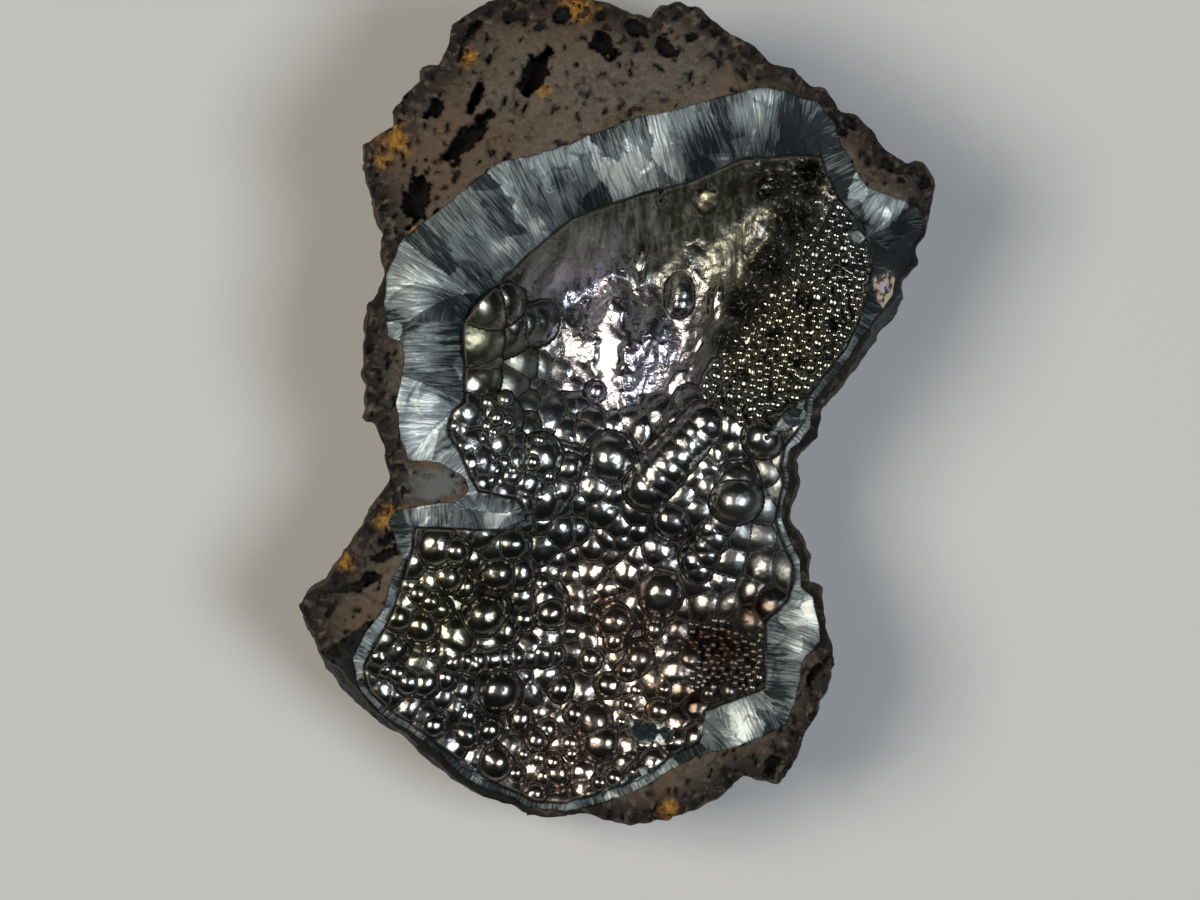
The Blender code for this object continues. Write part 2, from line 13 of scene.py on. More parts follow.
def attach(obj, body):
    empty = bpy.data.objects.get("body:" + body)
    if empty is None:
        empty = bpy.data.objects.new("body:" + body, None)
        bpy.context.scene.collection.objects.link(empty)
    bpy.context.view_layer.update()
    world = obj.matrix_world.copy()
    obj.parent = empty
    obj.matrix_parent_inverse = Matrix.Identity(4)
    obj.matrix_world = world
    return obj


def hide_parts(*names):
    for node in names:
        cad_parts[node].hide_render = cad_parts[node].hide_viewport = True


# Length of the specimen, in millimetres and in the photograph's pixels, and the pixels in the
# middle of its box and at the core that its sides lean away from
LENGTH = 125.0
PHOTO_LENGTH = 834.0
SCALE = LENGTH / PHOTO_LENGTH
PHOTO_CENTRE = (616.0, 413.0)
CORE = (575.0, 475.0)

# Driving dimensions of the crust and its fibre bundles, in millimetres
EDGE_THICKNESS = 3.0
CRUST_THICKNESS = 7.0
THICKENING_WIDTH = 7.0
GAP = 0.3
BUNDLE_WIDTH = 2.6
BUNDLE_LENGTH = 9.0
BUNDLE_LEAN = 1.5
BUNDLE_SIZE = 1.3
CHIP_SIZE = 0.9
HAMMER_HEIGHT = 0.22
HAMMER_SIZE = 2.2
WRINKLE_HEIGHT = 0.35
WRINKLE_SIZE = 3.6
CRINKLE_HEIGHT = 0.09
CRINKLE_SIZE = 1.5

# Driving dimensions of the rock, in millimetres
OUTLINE_WAVE = 0.3
OUTLINE_WAVE_LENGTH = 1.7
BACKING_WIDTH = 1.5
RIM_WIDTH = 3.6
BACKING_LIP = 0.5
CRUMBLY_WIDTH = 7.0
GRAIN_HEIGHT = 0.22
GRAIN_SIZE = 2.6
LUMP_HEIGHT = 0.6
LUMP_SIZE = 7.0

# Share of the way down the side where the specimen is widest, and the size of the back there
WIDEST = 0.3
BACK_SHARE = 0.84

# Share of a dome's radius by which its middle is sunk, and the radius in pixels above which a
# dome carries no scattered ones
SINK = 0.35
BROAD_DOME = 13.0

# How steeply the smooth faces of the wall rise to the east, which turns them to the light, and
# how near they come to a plane
LIT_SLOPE = 0.25
SMOOTH_SHARE = 0.78

# Seeds of the scattered small domes, and of the way that each broken facet leans
FINE_SEED = 11
FACET_SEED = 1795826270

# How finely the surfaces are laid out, in pixels
EDGE_STEP = 4.0
SKIN_STEP = 1.6
WALL_STEP = 2.2
RIDGE_STEP = 1.2
BAND_STEP = 1.8
RIM_STEP = 2.3
FLOOR_STEP = 36.0
SIDE_STEP = 3.2
SIDE_LEVELS = 64
ROUGHENING_LEVELS = 6.0

# Camera: its height over the specimen, and the width of the frame at the rim's height
CAMERA_HEIGHT = 1.1
FRAME_WIDTH = 1200.0 * SCALE * 0.001
RIM_HEIGHT = 0.030
FRAME_CENTRE = (600.0, 450.0)

# Outline of the whole specimen, clockwise from the top: x, y, and how far inside it the front
# edge stands, because the side flares out behind that edge
SILHOUETTE = [
    (488, 1, 3), (520, -3, 3), (560, -4, 3), (600, 0, 3), (629, 13, 3), (651, 19, 3), (660, 8, 3),
    (676, 3, 3), (696, 7, 3), (732, 36, 3), (756, 48, 3), (774, 66, 3), (794, 69, 3), (812, 87, 3),
    (825, 89, 3), (839, 109, 3), (857, 115, 3), (872, 132, 3), (888, 152, 3), (910, 163, 3),
    (924, 161, 4), (937, 185, 4), (933, 212, 4), (930, 234, 4), (921, 248, 4), (923, 268, 6),
    (908, 280, 6), (908, 297, 8), (883, 333, 12), (862, 360, 6), (851, 377, 4), (824, 407, 3),
    (820, 438, 3), (803, 452, 3), (797, 460, 3), (800, 484, 3), (792, 507, 3), (792, 519, 3),
    (802, 538, 3), (811, 557, 3), (811, 583, 3), (824, 590, 3), (827, 615, 3), (830, 638, 3),
    (835, 645, 3), (837, 663, 4), (832, 682, 4), (821, 704, 4), (819, 717, 4), (808, 737, 4),
    (800, 760, 4), (789, 780, 4), (780, 786, 4), (760, 783, 4), (745, 779, 4), (737, 787, 4),
    (719, 802, 5), (693, 815, 5), (671, 824, 5), (634, 830, 5), (606, 826, 5), (578, 819, 4),
    (564, 824, 4), (546, 824, 4), (524, 824, 6), (513, 816, 8), (483, 814, 13), (451, 796, 14),
    (425, 771, 13), (398, 746, 13), (380, 736, 14), (352, 712, 16), (335, 685, 14), (317, 657, 6),
    (308, 632, 4), (295, 605, 3), (311, 587, 3), (326, 580, 3), (344, 548, 3), (361, 523, 3),
    (372, 507, 3), (388, 479, 3), (381, 444, 3), (373, 423, 3), (365, 417, 3), (363, 352, 3),
    (367, 303, 3), (377, 291, 3), (384, 274, 3), (378, 251, 3), (382, 234, 3), (371, 200, 3),
    (364, 177, 3), (363, 145, 3), (393, 126, 3), (391, 112, 3), (405, 95, 3), (420, 82, 3),
    (422, 69, 3), (438, 65, 3), (448, 46, 3), (449, 27, 3), (475, 10, 3),
]

# Line where the crust meets the brown rock
CONTACT = [
    (405, 241), (450, 205), (475, 185), (500, 165), (530, 160), (560, 150), (600, 135), (640, 120),
    (680, 112), (720, 100), (765, 90), (790, 98), (815, 105), (832, 125), (840, 150), (865, 190),
    (905, 203), (922, 214), (921, 228), (912, 245), (910, 264), (896, 274), (893, 294), (868, 326),
    (852, 350), (840, 370), (813, 400), (809, 430), (790, 450), (786, 466), (789, 484), (782, 506),
    (782, 522), (791, 542), (800, 560), (801, 586), (812, 596), (817, 618), (820, 640), (802, 662),
    (795, 700), (785, 725), (740, 745), (700, 755), (680, 765), (640, 790), (590, 808), (566, 812),
    (546, 812), (526, 808), (512, 798), (487, 791), (464, 778), (440, 756), (412, 733), (392, 722),
    (374, 706), (360, 690), (352, 658), (367, 632), (386, 605), (390, 587), (404, 558), (390, 523),
    (396, 509), (425, 505), (455, 502), (469, 492), (466, 478), (440, 463), (409, 460), (402, 440),
    (398, 402), (405, 368), (405, 345), (390, 337), (386, 306), (388, 276),
]

# Edge of the domed skin: between it and the contact the crust is broken across its fibres
SKIN = [
    (820, 158), (790, 157), (740, 160), (690, 182), (640, 195), (600, 208), (570, 220), (545, 240),
    (528, 255), (484, 297), (463, 322), (463, 345), (465, 402), (452, 412), (448, 432), (462, 458),
    (478, 492), (520, 500), (528, 520), (500, 530), (465, 528), (415, 526), (412, 550), (400, 585),
    (392, 612), (376, 642), (362, 668), (368, 692), (392, 714), (420, 732), (446, 752), (472, 776),
    (500, 788), (535, 804), (566, 806), (600, 795), (640, 780), (678, 755), (700, 742), (706, 712),
    (745, 697), (765, 688), (765, 622), (790, 598), (794, 565), (784, 545), (776, 520), (784, 484),
    (781, 466), (786, 446), (803, 424), (808, 396), (834, 364), (848, 345), (860, 318), (868, 290),
    (872, 262), (862, 228), (838, 200), (828, 180),
]

# Height of the smooth surface that the domes, fibres and pits stand on: x, y, millimetres
RELIEF = [
    (488, 5, 37), (560, 0, 37), (629, 15, 38), (700, 12, 38), (774, 66, 39), (839, 109, 39),
    (888, 152, 38), (930, 185, 35), (925, 235, 33), (905, 262, 31), (895, 295, 31), (862, 355, 34),
    (824, 405, 34), (800, 455, 32), (797, 500, 30), (808, 570, 31), (830, 620, 33), (833, 680, 32),
    (800, 760, 30), (745, 782, 29), (690, 815, 28), (634, 828, 26), (565, 822, 24), (515, 808, 24),
    (470, 795, 25), (433, 765, 26), (392, 728, 27), (352, 692, 28), (320, 655, 29), (298, 605, 29),
    (340, 560, 32), (374, 507, 33), (386, 470, 35), (368, 400, 36), (366, 320, 37), (380, 270, 38),
    (375, 200, 38), (366, 145, 37), (405, 95, 38), (440, 60, 38), (560, 100, 41), (660, 70, 40.5),
    (450, 160, 41), (760, 80, 40.5), (520, 40, 40), (410, 240, 41), (395, 300, 39.5),
    (385, 420, 38), (430, 485, 37), (350, 600, 33), (400, 540, 34.5), (340, 640, 31),
    (790, 705, 33), (730, 765, 31), (640, 803, 27.5), (820, 158, 38.5), (740, 160, 37.5),
    (690, 182, 36.5), (640, 195, 36.5), (570, 220, 36.5), (528, 255, 36.5), (484, 297, 36.5),
    (463, 345, 36), (465, 402, 35), (415, 421, 37), (440, 430, 36), (765, 205, 30), (700, 232, 27),
    (640, 250, 25.5), (565, 290, 25), (606, 345, 27.5), (680, 300, 25), (540, 320, 27),
    (500, 380, 29), (560, 390, 25), (655, 385, 25.5), (645, 330, 25), (600, 270, 24.5),
    (700, 360, 28), (720, 420, 32), (745, 380, 33.5),
    (790, 320, 35.5), (830, 250, 38), (860, 210, 38.5), (872, 268, 37.5), (858, 325, 36.5),
    (812, 385, 35.5), (770, 420, 33.5), (497, 430, 33), (540, 470, 32), (600, 470, 30),
    (670, 450, 31), (740, 470, 31.5), (770, 450, 32.5), (480, 500, 34), (700, 540, 29),
    (440, 520, 34), (560, 540, 28), (640, 560, 26.5), (620, 620, 25.5), (690, 620, 26),
    (740, 560, 28.5), (780, 590, 30.5), (720, 650, 27.5), (770, 650, 31), (640, 700, 25),
    (560, 700, 24.5), (600, 760, 24.5), (540, 780, 24), (690, 730, 27), (500, 560, 29.5),
    (440, 560, 32), (400, 610, 32), (470, 620, 29), (520, 650, 26.5), (430, 680, 28.5),
    (380, 680, 29.5), (470, 740, 25.5), (420, 735, 27.5),
]

# Domes of the skin, large ones first: x, y, radius in pixels
MIDDLE_DOMES = [
    (737, 482, 27), (736, 500, 26), (662, 592, 28), (610, 458, 28), (497, 418, 27), (540, 457, 25),
    (527, 322, 25), (762, 438, 22), (671, 519, 22), (713, 528, 18), (707, 545, 18), (696, 560, 18),
    (655, 470, 22), (675, 458, 22), (695, 440, 22), (681, 291, 16), (681, 303, 16), (568, 468, 16),
    (596, 392, 13),
]
MIDDLE_BUMPS = [
    (481, 418, 8), (497, 418, 8), (508, 422, 7), (487, 426, 7), (494, 432, 7), (481, 438, 8),
    (471, 445, 8), (476, 451, 7), (487, 447, 7), (491, 457, 8), (496, 470, 9), (491, 480, 8),
    (533, 462, 8), (531, 480, 7), (549, 476, 8), (523, 494, 9), (509, 492, 8), (520, 446, 8),
    (538, 496, 9), (540, 440, 7), (512, 470, 7), (505, 400, 9), (488, 403, 8), (556, 492, 8),
]
LOWER_LEFT_DOMES = [
    (436, 544, 25), (511, 544, 20), (497, 573, 22), (519, 572, 20), (484, 615, 25), (549, 600, 22),
    (499, 691, 26), (447, 576, 18), (550, 613, 18), (504, 630, 18), (397, 616, 17), (408, 681, 16),
    (424, 682, 18), (542, 655, 16), (420, 626, 20), (456, 550, 15), (465, 587, 14), (542, 584, 12),
    (418, 593, 14), (431, 601, 13), (437, 609, 16), (524, 619, 14), (452, 659, 12), (472, 664, 14),
    (493, 659, 14), (506, 662, 10), (379, 656, 12), (431, 650, 10), (385, 669, 10), (397, 673, 12),
    (445, 678, 14), (383, 710, 12), (460, 707, 9), (467, 716, 13), (486, 730, 15), (536, 741, 12),
    (433, 726, 14), (465, 735, 18),
]
LOWER_DOMES = [
    (489, 731, 14), (494, 763, 22), (483, 786, 11), (536, 743, 14), (547, 731, 15), (523, 756, 9),
    (538, 760, 11), (553, 764, 10), (557, 774, 16), (542, 778, 12), (534, 796, 14), (557, 655, 10),
    (615, 622, 22), (615, 641, 12), (609, 686, 17), (594, 723, 24), (602, 744, 24), (572, 755, 9),
    (627, 671, 12), (627, 691, 8), (637, 691, 8), (629, 706, 10), (622, 723, 8), (615, 779, 12),
    (634, 774, 10), (600, 784, 10), (591, 796, 9), (639, 660, 20), (730, 691, 10), (709, 694, 8),
    (734, 663, 8), (675, 742, 16), (693, 750, 8), (560, 690, 16), (575, 715, 13), (660, 712, 14),
    (590, 660, 15), (655, 630, 13), (690, 660, 13), (665, 690, 12), (520, 720, 15), (515, 775, 12),
    (645, 745, 12), (570, 745, 12),
]

# Field of the smallest domes, on the ridge at the right
RIDGE_FIELD = [
    (692, 412), (712, 365), (738, 338), (760, 304), (783, 286), (788, 262), (804, 244), (826, 204),
    (858, 212),
    (868, 260), (862, 310), (840, 355), (805, 392), (770, 412), (735, 424),
]

# Pits in the brown rock: x, y, half length, half width, turn in degrees, depth in millimetres
PITS = [
    (536, 75, 26, 13, 60, 5.5), (477, 99, 16, 7, 70, 4.0), (467, 144, 34, 11, 48, 5.0),
    (436, 110, 15, 8, 60, 3.5), (418, 200, 28, 14, 80, 5.0), (459, 207, 7, 4, 60, 2.0),
    (605, 48, 19, 11, -50, 4.0), (473, 35, 14, 8, 60, 3.0), (438, 219, 9, 5, 70, 2.0),
    (637, 32, 14, 9, -40, 3.0), (666, 50, 13, 8, -30, 3.0), (690, 40, 8, 5, 0, 2.0),
    (704, 28, 7, 4, 20, 2.0), (885, 166, 11, 6, -60, 2.5), (847, 124, 11, 5, -50, 2.5),
    (347, 588, 14, 5, 20, 2.5), (366, 580, 16, 7, 40, 3.0), (390, 538, 15, 6, 25, 2.5),
    (386, 554, 17, 6, 20, 3.0), (812, 675, 14, 5, 60, 2.5), (772, 765, 12, 9, 30, 3.0),
]

# Large broken faces of the side and back: compass angle, lean in degrees, and the height in
# millimetres at which each starts to cut in below the widest line
BREAKS = [
    (-8, 42, 22), (22, 34, 25), (48, 50, 20), (78, 40, 26), (104, 55, 16), (128, 38, 27),
    (152, 48, 20), (183, 36, 24), (207, 46, 17), (232, 40, 22), (258, 52, 15), (281, 36, 20),
    (306, 47, 18), (333, 40, 21),
]

# Finer fields of domes, which the construction leaves out: the polygon, the smallest and largest
# radius, how many are tried, how close they stand, and the share of the radius that is sunk
UPPER_LEFT = [(465, 300), (500, 290), (560, 370), (590, 400), (600, 430), (470, 430), (452, 400)]
MIDDLE_LEFT = [(450, 400), (590, 405), (590, 470), (550, 505), (478, 500), (445, 440)]
LOWER_SKIN = [
    (450, 420), (560, 400), (610, 425), (700, 405), (740, 430), (815, 415), (785, 460), (725, 500),
    (700, 560), (690, 605), (676, 650), (692, 692), (706, 715), (700, 745), (640, 785), (560, 810),
    (500, 795), (440, 755), (365, 700), (370, 640), (400, 590), (405, 525), (530, 522), (470, 480),
]
FACETS = [(700, 480), (790, 480), (800, 570), (765, 625), (700, 600)]
DRUSE_FIELD = [(700, 615), (768, 619), (768, 690), (690, 690), (672, 650)]
GLINT_FIELD = [
    (742, 162), (832, 162), (850, 202), (812, 232), (790, 262), (775, 292), (745, 322), (722, 345),
    (745, 285), (772, 235), (770, 200),
]
FINE_FIELDS = [
    (UPPER_LEFT, 24.0, 40.0, 1600, 0.34, 0.84),
    (MIDDLE_LEFT, 10.0, 15.0, 2500, 0.50, 0.68),
    (LOWER_SKIN, 20.0, 33.0, 14000, 0.33, 0.82),
    (FACETS, 28.0, 44.0, 1200, 0.34, 0.78),
    (RIDGE_FIELD, 3.0, 8.0, 7000, 0.62, 0.50),
    (GLINT_FIELD, 3.0, 5.0, 400, 1.10, 0.45),
    (DRUSE_FIELD, 3.0, 5.5, 3000, 0.70, 0.40),
]

# How far the ground lies below the feet of the domes, so that they meet in sharp valleys
VALLEY_DEPTH = 1.3

# Outline of the hollow, whose wall is wrinkled and has few domes
HOLLOW = [
    (463, 330), (500, 285), (530, 250), (600, 200), (740, 150), (835, 150), (850, 200), (790, 285),
    (740, 345), (700, 400), (640, 415), (590, 405), (560, 370), (520, 340),
]

# Ribbed domes, each a row of spheres: x, y and radius of the first and of the last, how many
RIBBED_ROWS = [
    (648, 486, 27, 706, 424, 25, 7), (508, 324, 22, 533, 320, 26, 3), (452, 662, 14, 528, 656, 14, 7),
    (700, 570, 18, 722, 520, 20, 4),
]

# Long domes: x, y, radius in pixels, turn in degrees, stretch
LONG_DOMES = [(681, 297, 21, 90, 1.27), (545, 600, 24, 80, 1.15)]

# Places where the crust is broken through to its fibres: x, y, half length, half width, turn
BROKEN_PATCHES = [
    (500, 517, 32, 15, 5), (649, 733, 26, 12, -10), (634, 790, 42, 16, 25), (736, 728, 38, 22, 20),
    (846, 372, 34, 9, 55), (872, 300, 40, 7, 80), (800, 412, 40, 8, 35), (862, 226, 22, 10, 60),
    (470, 778, 18, 8, -50), (424, 512, 34, 12, 0),
]

# Soft swells of the wrinkled wall: x, y, half length, half width, turn, height in millimetres
SWELLS = [
    (560, 268, 48, 15, 62, 1.3), (642, 250, 34, 12, 85, 1.1), (708, 205, 26, 18, 70, 1.6),
    (612, 305, 32, 20, 75, 1.1), (638, 352, 62, 40, 70, 1.9), (716, 300, 20, 7, 85, 0.9),
    (677, 379, 17, 11, 60, 1.0), (660, 210, 34, 9, 85, 0.7), (610, 225, 40, 10, 70, 0.7),
    (750, 235, 34, 14, 60, 1.1), (690, 250, 30, 9, 80, 0.6), (740, 185, 26, 12, 30, 0.9),
    (650, 330, 30, 12, 75, 0.7), (520, 285, 26, 10, 50, 0.6),
]

# Smooth faces of the wall: x, y, half length, half width, turn, and the rise to the east
SMOOTH_FACES = [
    (610, 340, 52, 16, 82, 0.8 * LIT_SLOPE),
    (706, 203, 17, 13, 75, LIT_SLOPE), (677, 380, 14, 8, 60, LIT_SLOPE),
    (641, 262, 18, 5, 85, LIT_SLOPE), (717, 300, 14, 4, 80, LIT_SLOPE),
    (700, 343, 10, 4, 70, LIT_SLOPE), (661, 198, 8, 3, 80, LIT_SLOPE),
    (766, 190, 11, 7, 40, LIT_SLOPE),
]

# Smaller pits of the rock: x, y, half length, half width, turn in degrees, depth in millimetres
FINE_PITS = [
    (512, 20, 18, 7, 0, 2.0), (564, 17, 14, 9, 40, 2.5), (582, 40, 8, 5, 0, 1.5),
    (599, 19, 8, 5, 0, 1.5), (461, 58, 12, 4, 80, 2.0), (637, 50, 8, 5, 60, 1.5),
    (658, 71, 9, 3, -40, 1.5), (690, 80, 8, 3, 70, 1.5), (796, 74, 10, 3, -30, 1.5),
    (841, 136, 8, 5, 0, 2.0), (924, 183, 9, 6, 70, 2.0), (899, 181, 6, 4, 0, 1.5),
    (866, 165, 7, 4, 60, 1.5), (830, 118, 9, 3, -60, 1.5), (540, 30, 10, 5, 30, 1.5),
    (490, 62, 7, 4, 60, 1.5), (505, 105, 6, 4, 60, 1.5), (526, 110, 7, 3, 70, 1.5),
    (712, 60, 8, 4, -30, 1.5), (745, 58, 8, 3, -30, 1.2), (383, 395, 7, 4, 60, 1.5),
    (371, 350, 8, 4, 80, 1.5), (376, 300, 9, 5, 70, 2.0), (400, 262, 9, 4, 20, 1.5),
    (330, 612, 8, 4, 50, 1.5), (356, 610, 8, 4, 0, 1.5), (322, 596, 7, 4, 20, 1.2),
]

# Spots of the surface marks: x, y, radius in pixels
VUG_SPOTS = [(610, 300, 100), (700, 240, 80), (560, 250, 60), (650, 380, 60), (760, 200, 60)]
VIOLET_SPOTS = [(640, 350, 70), (600, 390, 50), (590, 290, 50)]
COPPER_SPOTS = [(620, 640, 70), (560, 760, 70), (640, 700, 70), (880, 298, 24), (600, 590, 50)]
PALE_SPOTS = [(550, 450, 60), (620, 455, 50), (500, 440, 44), (440, 520, 30), (700, 470, 40)]
OLIVE_SPOTS = [(480, 340, 60), (780, 340, 90), (430, 600, 90), (700, 200, 90), (560, 240, 60)]
STREAKED_SPOTS = [
    (700, 195, 46), (640, 215, 44), (590, 235, 34), (765, 190, 50), (730, 240, 40), (660, 240, 40),
]
# Painted shade on the hollow's right wall and among the ridge's beads
SHADE_SPOTS = [
    (765, 262, 40), (745, 305, 38), (788, 220, 40), (805, 180, 38), (728, 340, 24), (770, 185, 30),
    (802, 302, 16), (772, 336, 14), (832, 326, 12), (796, 362, 12), (742, 374, 11), (838, 268, 12),
]
# Painted shade on the rock's side below the right edge
PAINTED_SHADE_SPOTS = [
    (920, 258, 30), (912, 300, 20), (897, 325, 15), (881, 350, 15), (864, 378, 15), (842, 404, 15),
    (824, 425, 15), (812, 447, 15), (806, 470, 12),
]
DULL_SPOTS = STREAKED_SPOTS + [
    (520, 375, 44), (480, 335, 30), (765, 520, 48), (790, 560, 30), (725, 650, 56), (775, 470, 30),
]
BRIGHT_BUNDLES = [
    (425, 300, 30), (412, 365, 26), (425, 430, 24), (395, 400, 20),
    (632, 165, 36), (752, 120, 28), (762, 100, 18), (430, 335, 20), (424, 405, 22), (500, 250, 14),
    (541, 226, 9), (810, 612, 18), (800, 650, 16), (740, 728, 22), (885, 215, 9), (425, 512, 22),
    (498, 515, 22),
]
DEEP_BUNDLES = [
    (703, 150, 30), (803, 130, 26), (578, 218, 16), (905, 255, 20), (865, 225, 14), (775, 690, 16),
    (760, 735, 16), (440, 300, 18), (410, 370, 12), (560, 185, 12), (895, 225, 12), (720, 745, 12),
]
PEARL_SPOTS = [(884, 284, 17), (892, 302, 17)]
GREY_SPOTS = [(412, 484, 26), (432, 485, 26), (450, 484, 20)]
RUST_SPOTS = [(728, 650, 54), (700, 640, 34), (690, 700, 26), (755, 610, 30)]
OCHRE_SPOTS = [
    (395, 145, 26), (385, 160, 18), (415, 232, 12), (388, 517, 20), (668, 810, 17),
    (580, 8, 26), (545, 95, 12), (375, 250, 10), (470, 60, 14), (345, 560, 16),
]

# Colours of the rock, as linear red, green and blue
DARK_BROWN = (0.052, 0.041, 0.030)
LIGHT_BROWN = (0.100, 0.081, 0.064)
PALE_GRAIN = (0.145, 0.120, 0.094)
BLACK_GRAIN = (0.016, 0.013, 0.011)
RED_BROWN = (0.098, 0.062, 0.038)
GREY_CHIP = (0.105, 0.110, 0.106)
# Painted shade in the gaps of the crumbly rim
PAINTED_CRUMB_SHADE = (0.013, 0.010, 0.008)
DARK_OCHRE = (0.10, 0.040, 0.010)
BRIGHT_OCHRE = (0.40, 0.21, 0.03)
# Black of the pits, and of the painted shade on the rock's side
PIT_AND_PAINTED_SHADE_BLACK = (0.004, 0.0035, 0.003)

# Colours of the crust: its skin and the tints of the skin's marks, the streaks of the hollow's
# wall, the painted shade and glints of its gloomy places, the painted shade of the creases, the
# fibres, and the pearly patch
DARK_STEEL = (0.12, 0.125, 0.13)
LIGHT_STEEL = (0.22, 0.22, 0.215)
TINTS = {
    "pale": (0.34, 0.345, 0.33),
    "olive": (0.23, 0.22, 0.15),
    "copper": (0.32, 0.25, 0.205),
    "violet": (0.30, 0.285, 0.33),
    "rust": (0.050, 0.027, 0.017),
}
DARK_STREAK = (0.020, 0.021, 0.018)
PALE_STREAK = (0.42, 0.43, 0.36)
# Painted shade of the crust's gloomy places, with glints in it
GLOOM = (0.026, 0.025, 0.020)
GLINT = (0.55, 0.53, 0.38)
# Painted shade in the creases between domes
PAINTED_CREASE_SHADE = (0.008, 0.007, 0.006)
DARK_FIBRE = (0.014, 0.019, 0.022)
BLUE_FIBRE = (0.22, 0.255, 0.262)
SILVER_FIBRE = (0.60, 0.64, 0.62)
LILAC = (0.62, 0.52, 0.68)
GOLD = (0.66, 0.52, 0.30)
DARK_PEARL = (0.05, 0.055, 0.06)

# Colours of the lights, the dim surround and the floor
WARM_LIGHT = (1.0, 0.93, 0.80)
COOL_LIGHT = (0.88, 0.94, 1.0)
SURROUND = (0.016, 0.018, 0.02)
FLOOR_GREY = (0.45, 0.45, 0.45)


def plan(points):
    """Millimetres from the specimen's centre, for photo pixels."""
    points = np.asarray(points, float)
    return np.stack(
        [(points[:, 0] - PHOTO_CENTRE[0]) * SCALE, (PHOTO_CENTRE[1] - points[:, 1]) * SCALE], 1
    )


def smooth_step(low, high, values):
    """Rises softly from 0 at the low value to 1 at the high one."""
    share = np.clip((values - low) / (high - low), 0.0, 1.0)
    return share * share * (3.0 - 2.0 * share)


def is_inside(points, polygon):
    """Which points lie inside a closed polygon."""
    inside = np.zeros(len(points), bool)
    for (x0, y0), (x1, y1) in zip(polygon, np.roll(polygon, -1, axis=0)):
        crosses = (y0 > points[:, 1]) != (y1 > points[:, 1])
        slope = (x1 - x0) / (y1 - y0) if y1 != y0 else 0.0
        inside ^= crosses & (points[:, 0] < x0 + slope * (points[:, 1] - y0))
    return inside


def nearest_on(points, polygon):
    """Distance from each point to a closed polygon, and how far along it the nearest spot lies."""
    best = np.full(len(points), np.inf)
    place = np.zeros(len(points))
    start = 0.0
    for a, b in zip(polygon, np.roll(polygon, -1, axis=0)):
        side = b - a
        length = np.hypot(*side)
        along = np.clip((points - a) @ side / length**2, 0.0, 1.0)
        distance = np.hypot(*(points - a - along[:, None] * side).T)
        closer = distance < best
        best = np.where(closer, distance, best)
        place = np.where(closer, start + along * length, place)
        start += length
    return best, place


def depth_inside(points, polygon):
    """Distance to a closed polygon, positive inside it."""
    return np.where(is_inside(points, polygon), 1.0, -1.0) * nearest_on(points, polygon)[0]


def resampled(rows, step):
    """Points at an even spacing along a closed line; further columns are carried along."""
    rows = np.asarray(rows, float)
    closed = np.vstack([rows, rows[:1]])
    lengths = np.hypot(*np.diff(closed[:, :2], axis=0).T)
    travelled = np.concatenate([[0.0], np.cumsum(lengths)])
    count = int(round(travelled[-1] / step))
    stops = np.linspace(0.0, travelled[-1], count, endpoint=False)
    return np.stack([np.interp(stops, travelled, column) for column in closed.T], 1)


def outward(polygon):
    """Unit vectors that point out of a clockwise polygon at its corners."""
    along = np.roll(polygon, -1, axis=0) - np.roll(polygon, 1, axis=0)
    normals = np.stack([-along[:, 1], along[:, 0]], 1)
    return normals / np.hypot(*normals.T)[:, None]


def roughened(polygon):
    """The same outline, a little uneven, as broken rock is."""
    waves = [noise.noise(Vector((x, y, 0.0)) / OUTLINE_WAVE_LENGTH) for x, y in polygon]
    return polygon + outward(polygon) * (OUTLINE_WAVE * np.array(waves))[:, None]


def bend_kernel(a, b):
    """How a thin plate pushed up at each point of b bends at each point of a."""
    squared = ((a[:, None, :] - b[None, :, :]) ** 2).sum(axis=2)
    return squared * np.log(squared + 1e-9)


def fit_relief():
    """Weights of the thin plate that passes through the relief's heights."""
    rows = np.array(RELIEF, float)
    knots = plan(rows)
    count = len(knots)
    flat = np.hstack([np.ones((count, 1)), knots])
    system = np.zeros((count + 3, count + 3))
    system[:count, :count] = bend_kernel(knots, knots)
    system[:count, count:] = flat
    system[count:, :count] = flat.T
    target = np.concatenate([rows[:, 2], np.zeros(3)])
    return knots, np.linalg.solve(system, target)


KNOTS, WEIGHTS = fit_relief()
CONTACT_LINE = plan(CONTACT)
SKIN_LINE = plan(SKIN)


def relief(points):
    """Height of the smooth surface."""
    plate = bend_kernel(points, KNOTS) @ WEIGHTS[:-3]
    return plate + WEIGHTS[-3] + points @ WEIGHTS[-2:]


def fractal(points, size, octaves):
    """Uneven waves of several sizes, about -1 to 1, at each point."""
    return np.array([noise.fractal(Vector(p) / size, 1.0, 2.1, octaves) for p in points])


def flat_points(points):
    """The same plan points as 3-D vectors at height zero."""
    return np.column_stack([points, np.zeros(len(points))])


def scattered(field, smallest, largest, tries, rng, spacing):
    """Small domes at random in a field, none nearer to another than their radii allow."""
    corners = plan(field)
    low = corners.min(axis=0)
    high = corners.max(axis=0)
    spots = rng.uniform(low, high, (tries, 2))
    radii = rng.uniform(smallest, largest, tries) * SCALE
    kept = np.empty((0, 3))
    for spot, radius, inside in zip(spots, radii, is_inside(spots, corners)):
        away = np.hypot(*(kept[:, :2] - spot).T)
        if inside and (away > spacing * (radius + kept[:, 2])).all():
            kept = np.vstack([kept, (*spot, radius)])
    return kept


def stacked(rows):
    """Adds the height of each sphere's middle; a dome on a larger one stands on top of it."""
    rows = rows[np.argsort(-rows[:, 2], kind="stable")]
    middles = relief(rows[:, :2])
    for index, (x, y, radius) in enumerate(rows):
        away = np.hypot(rows[:index, 0] - x, rows[:index, 1] - y)
        under = away < rows[:index, 2]
        tops = middles[:index][under] + np.sqrt(rows[:index, 2][under] ** 2 - away[under] ** 2)
        middles[index] = max([middles[index], *tops]) - SINK * radius
    return np.column_stack([rows, middles])


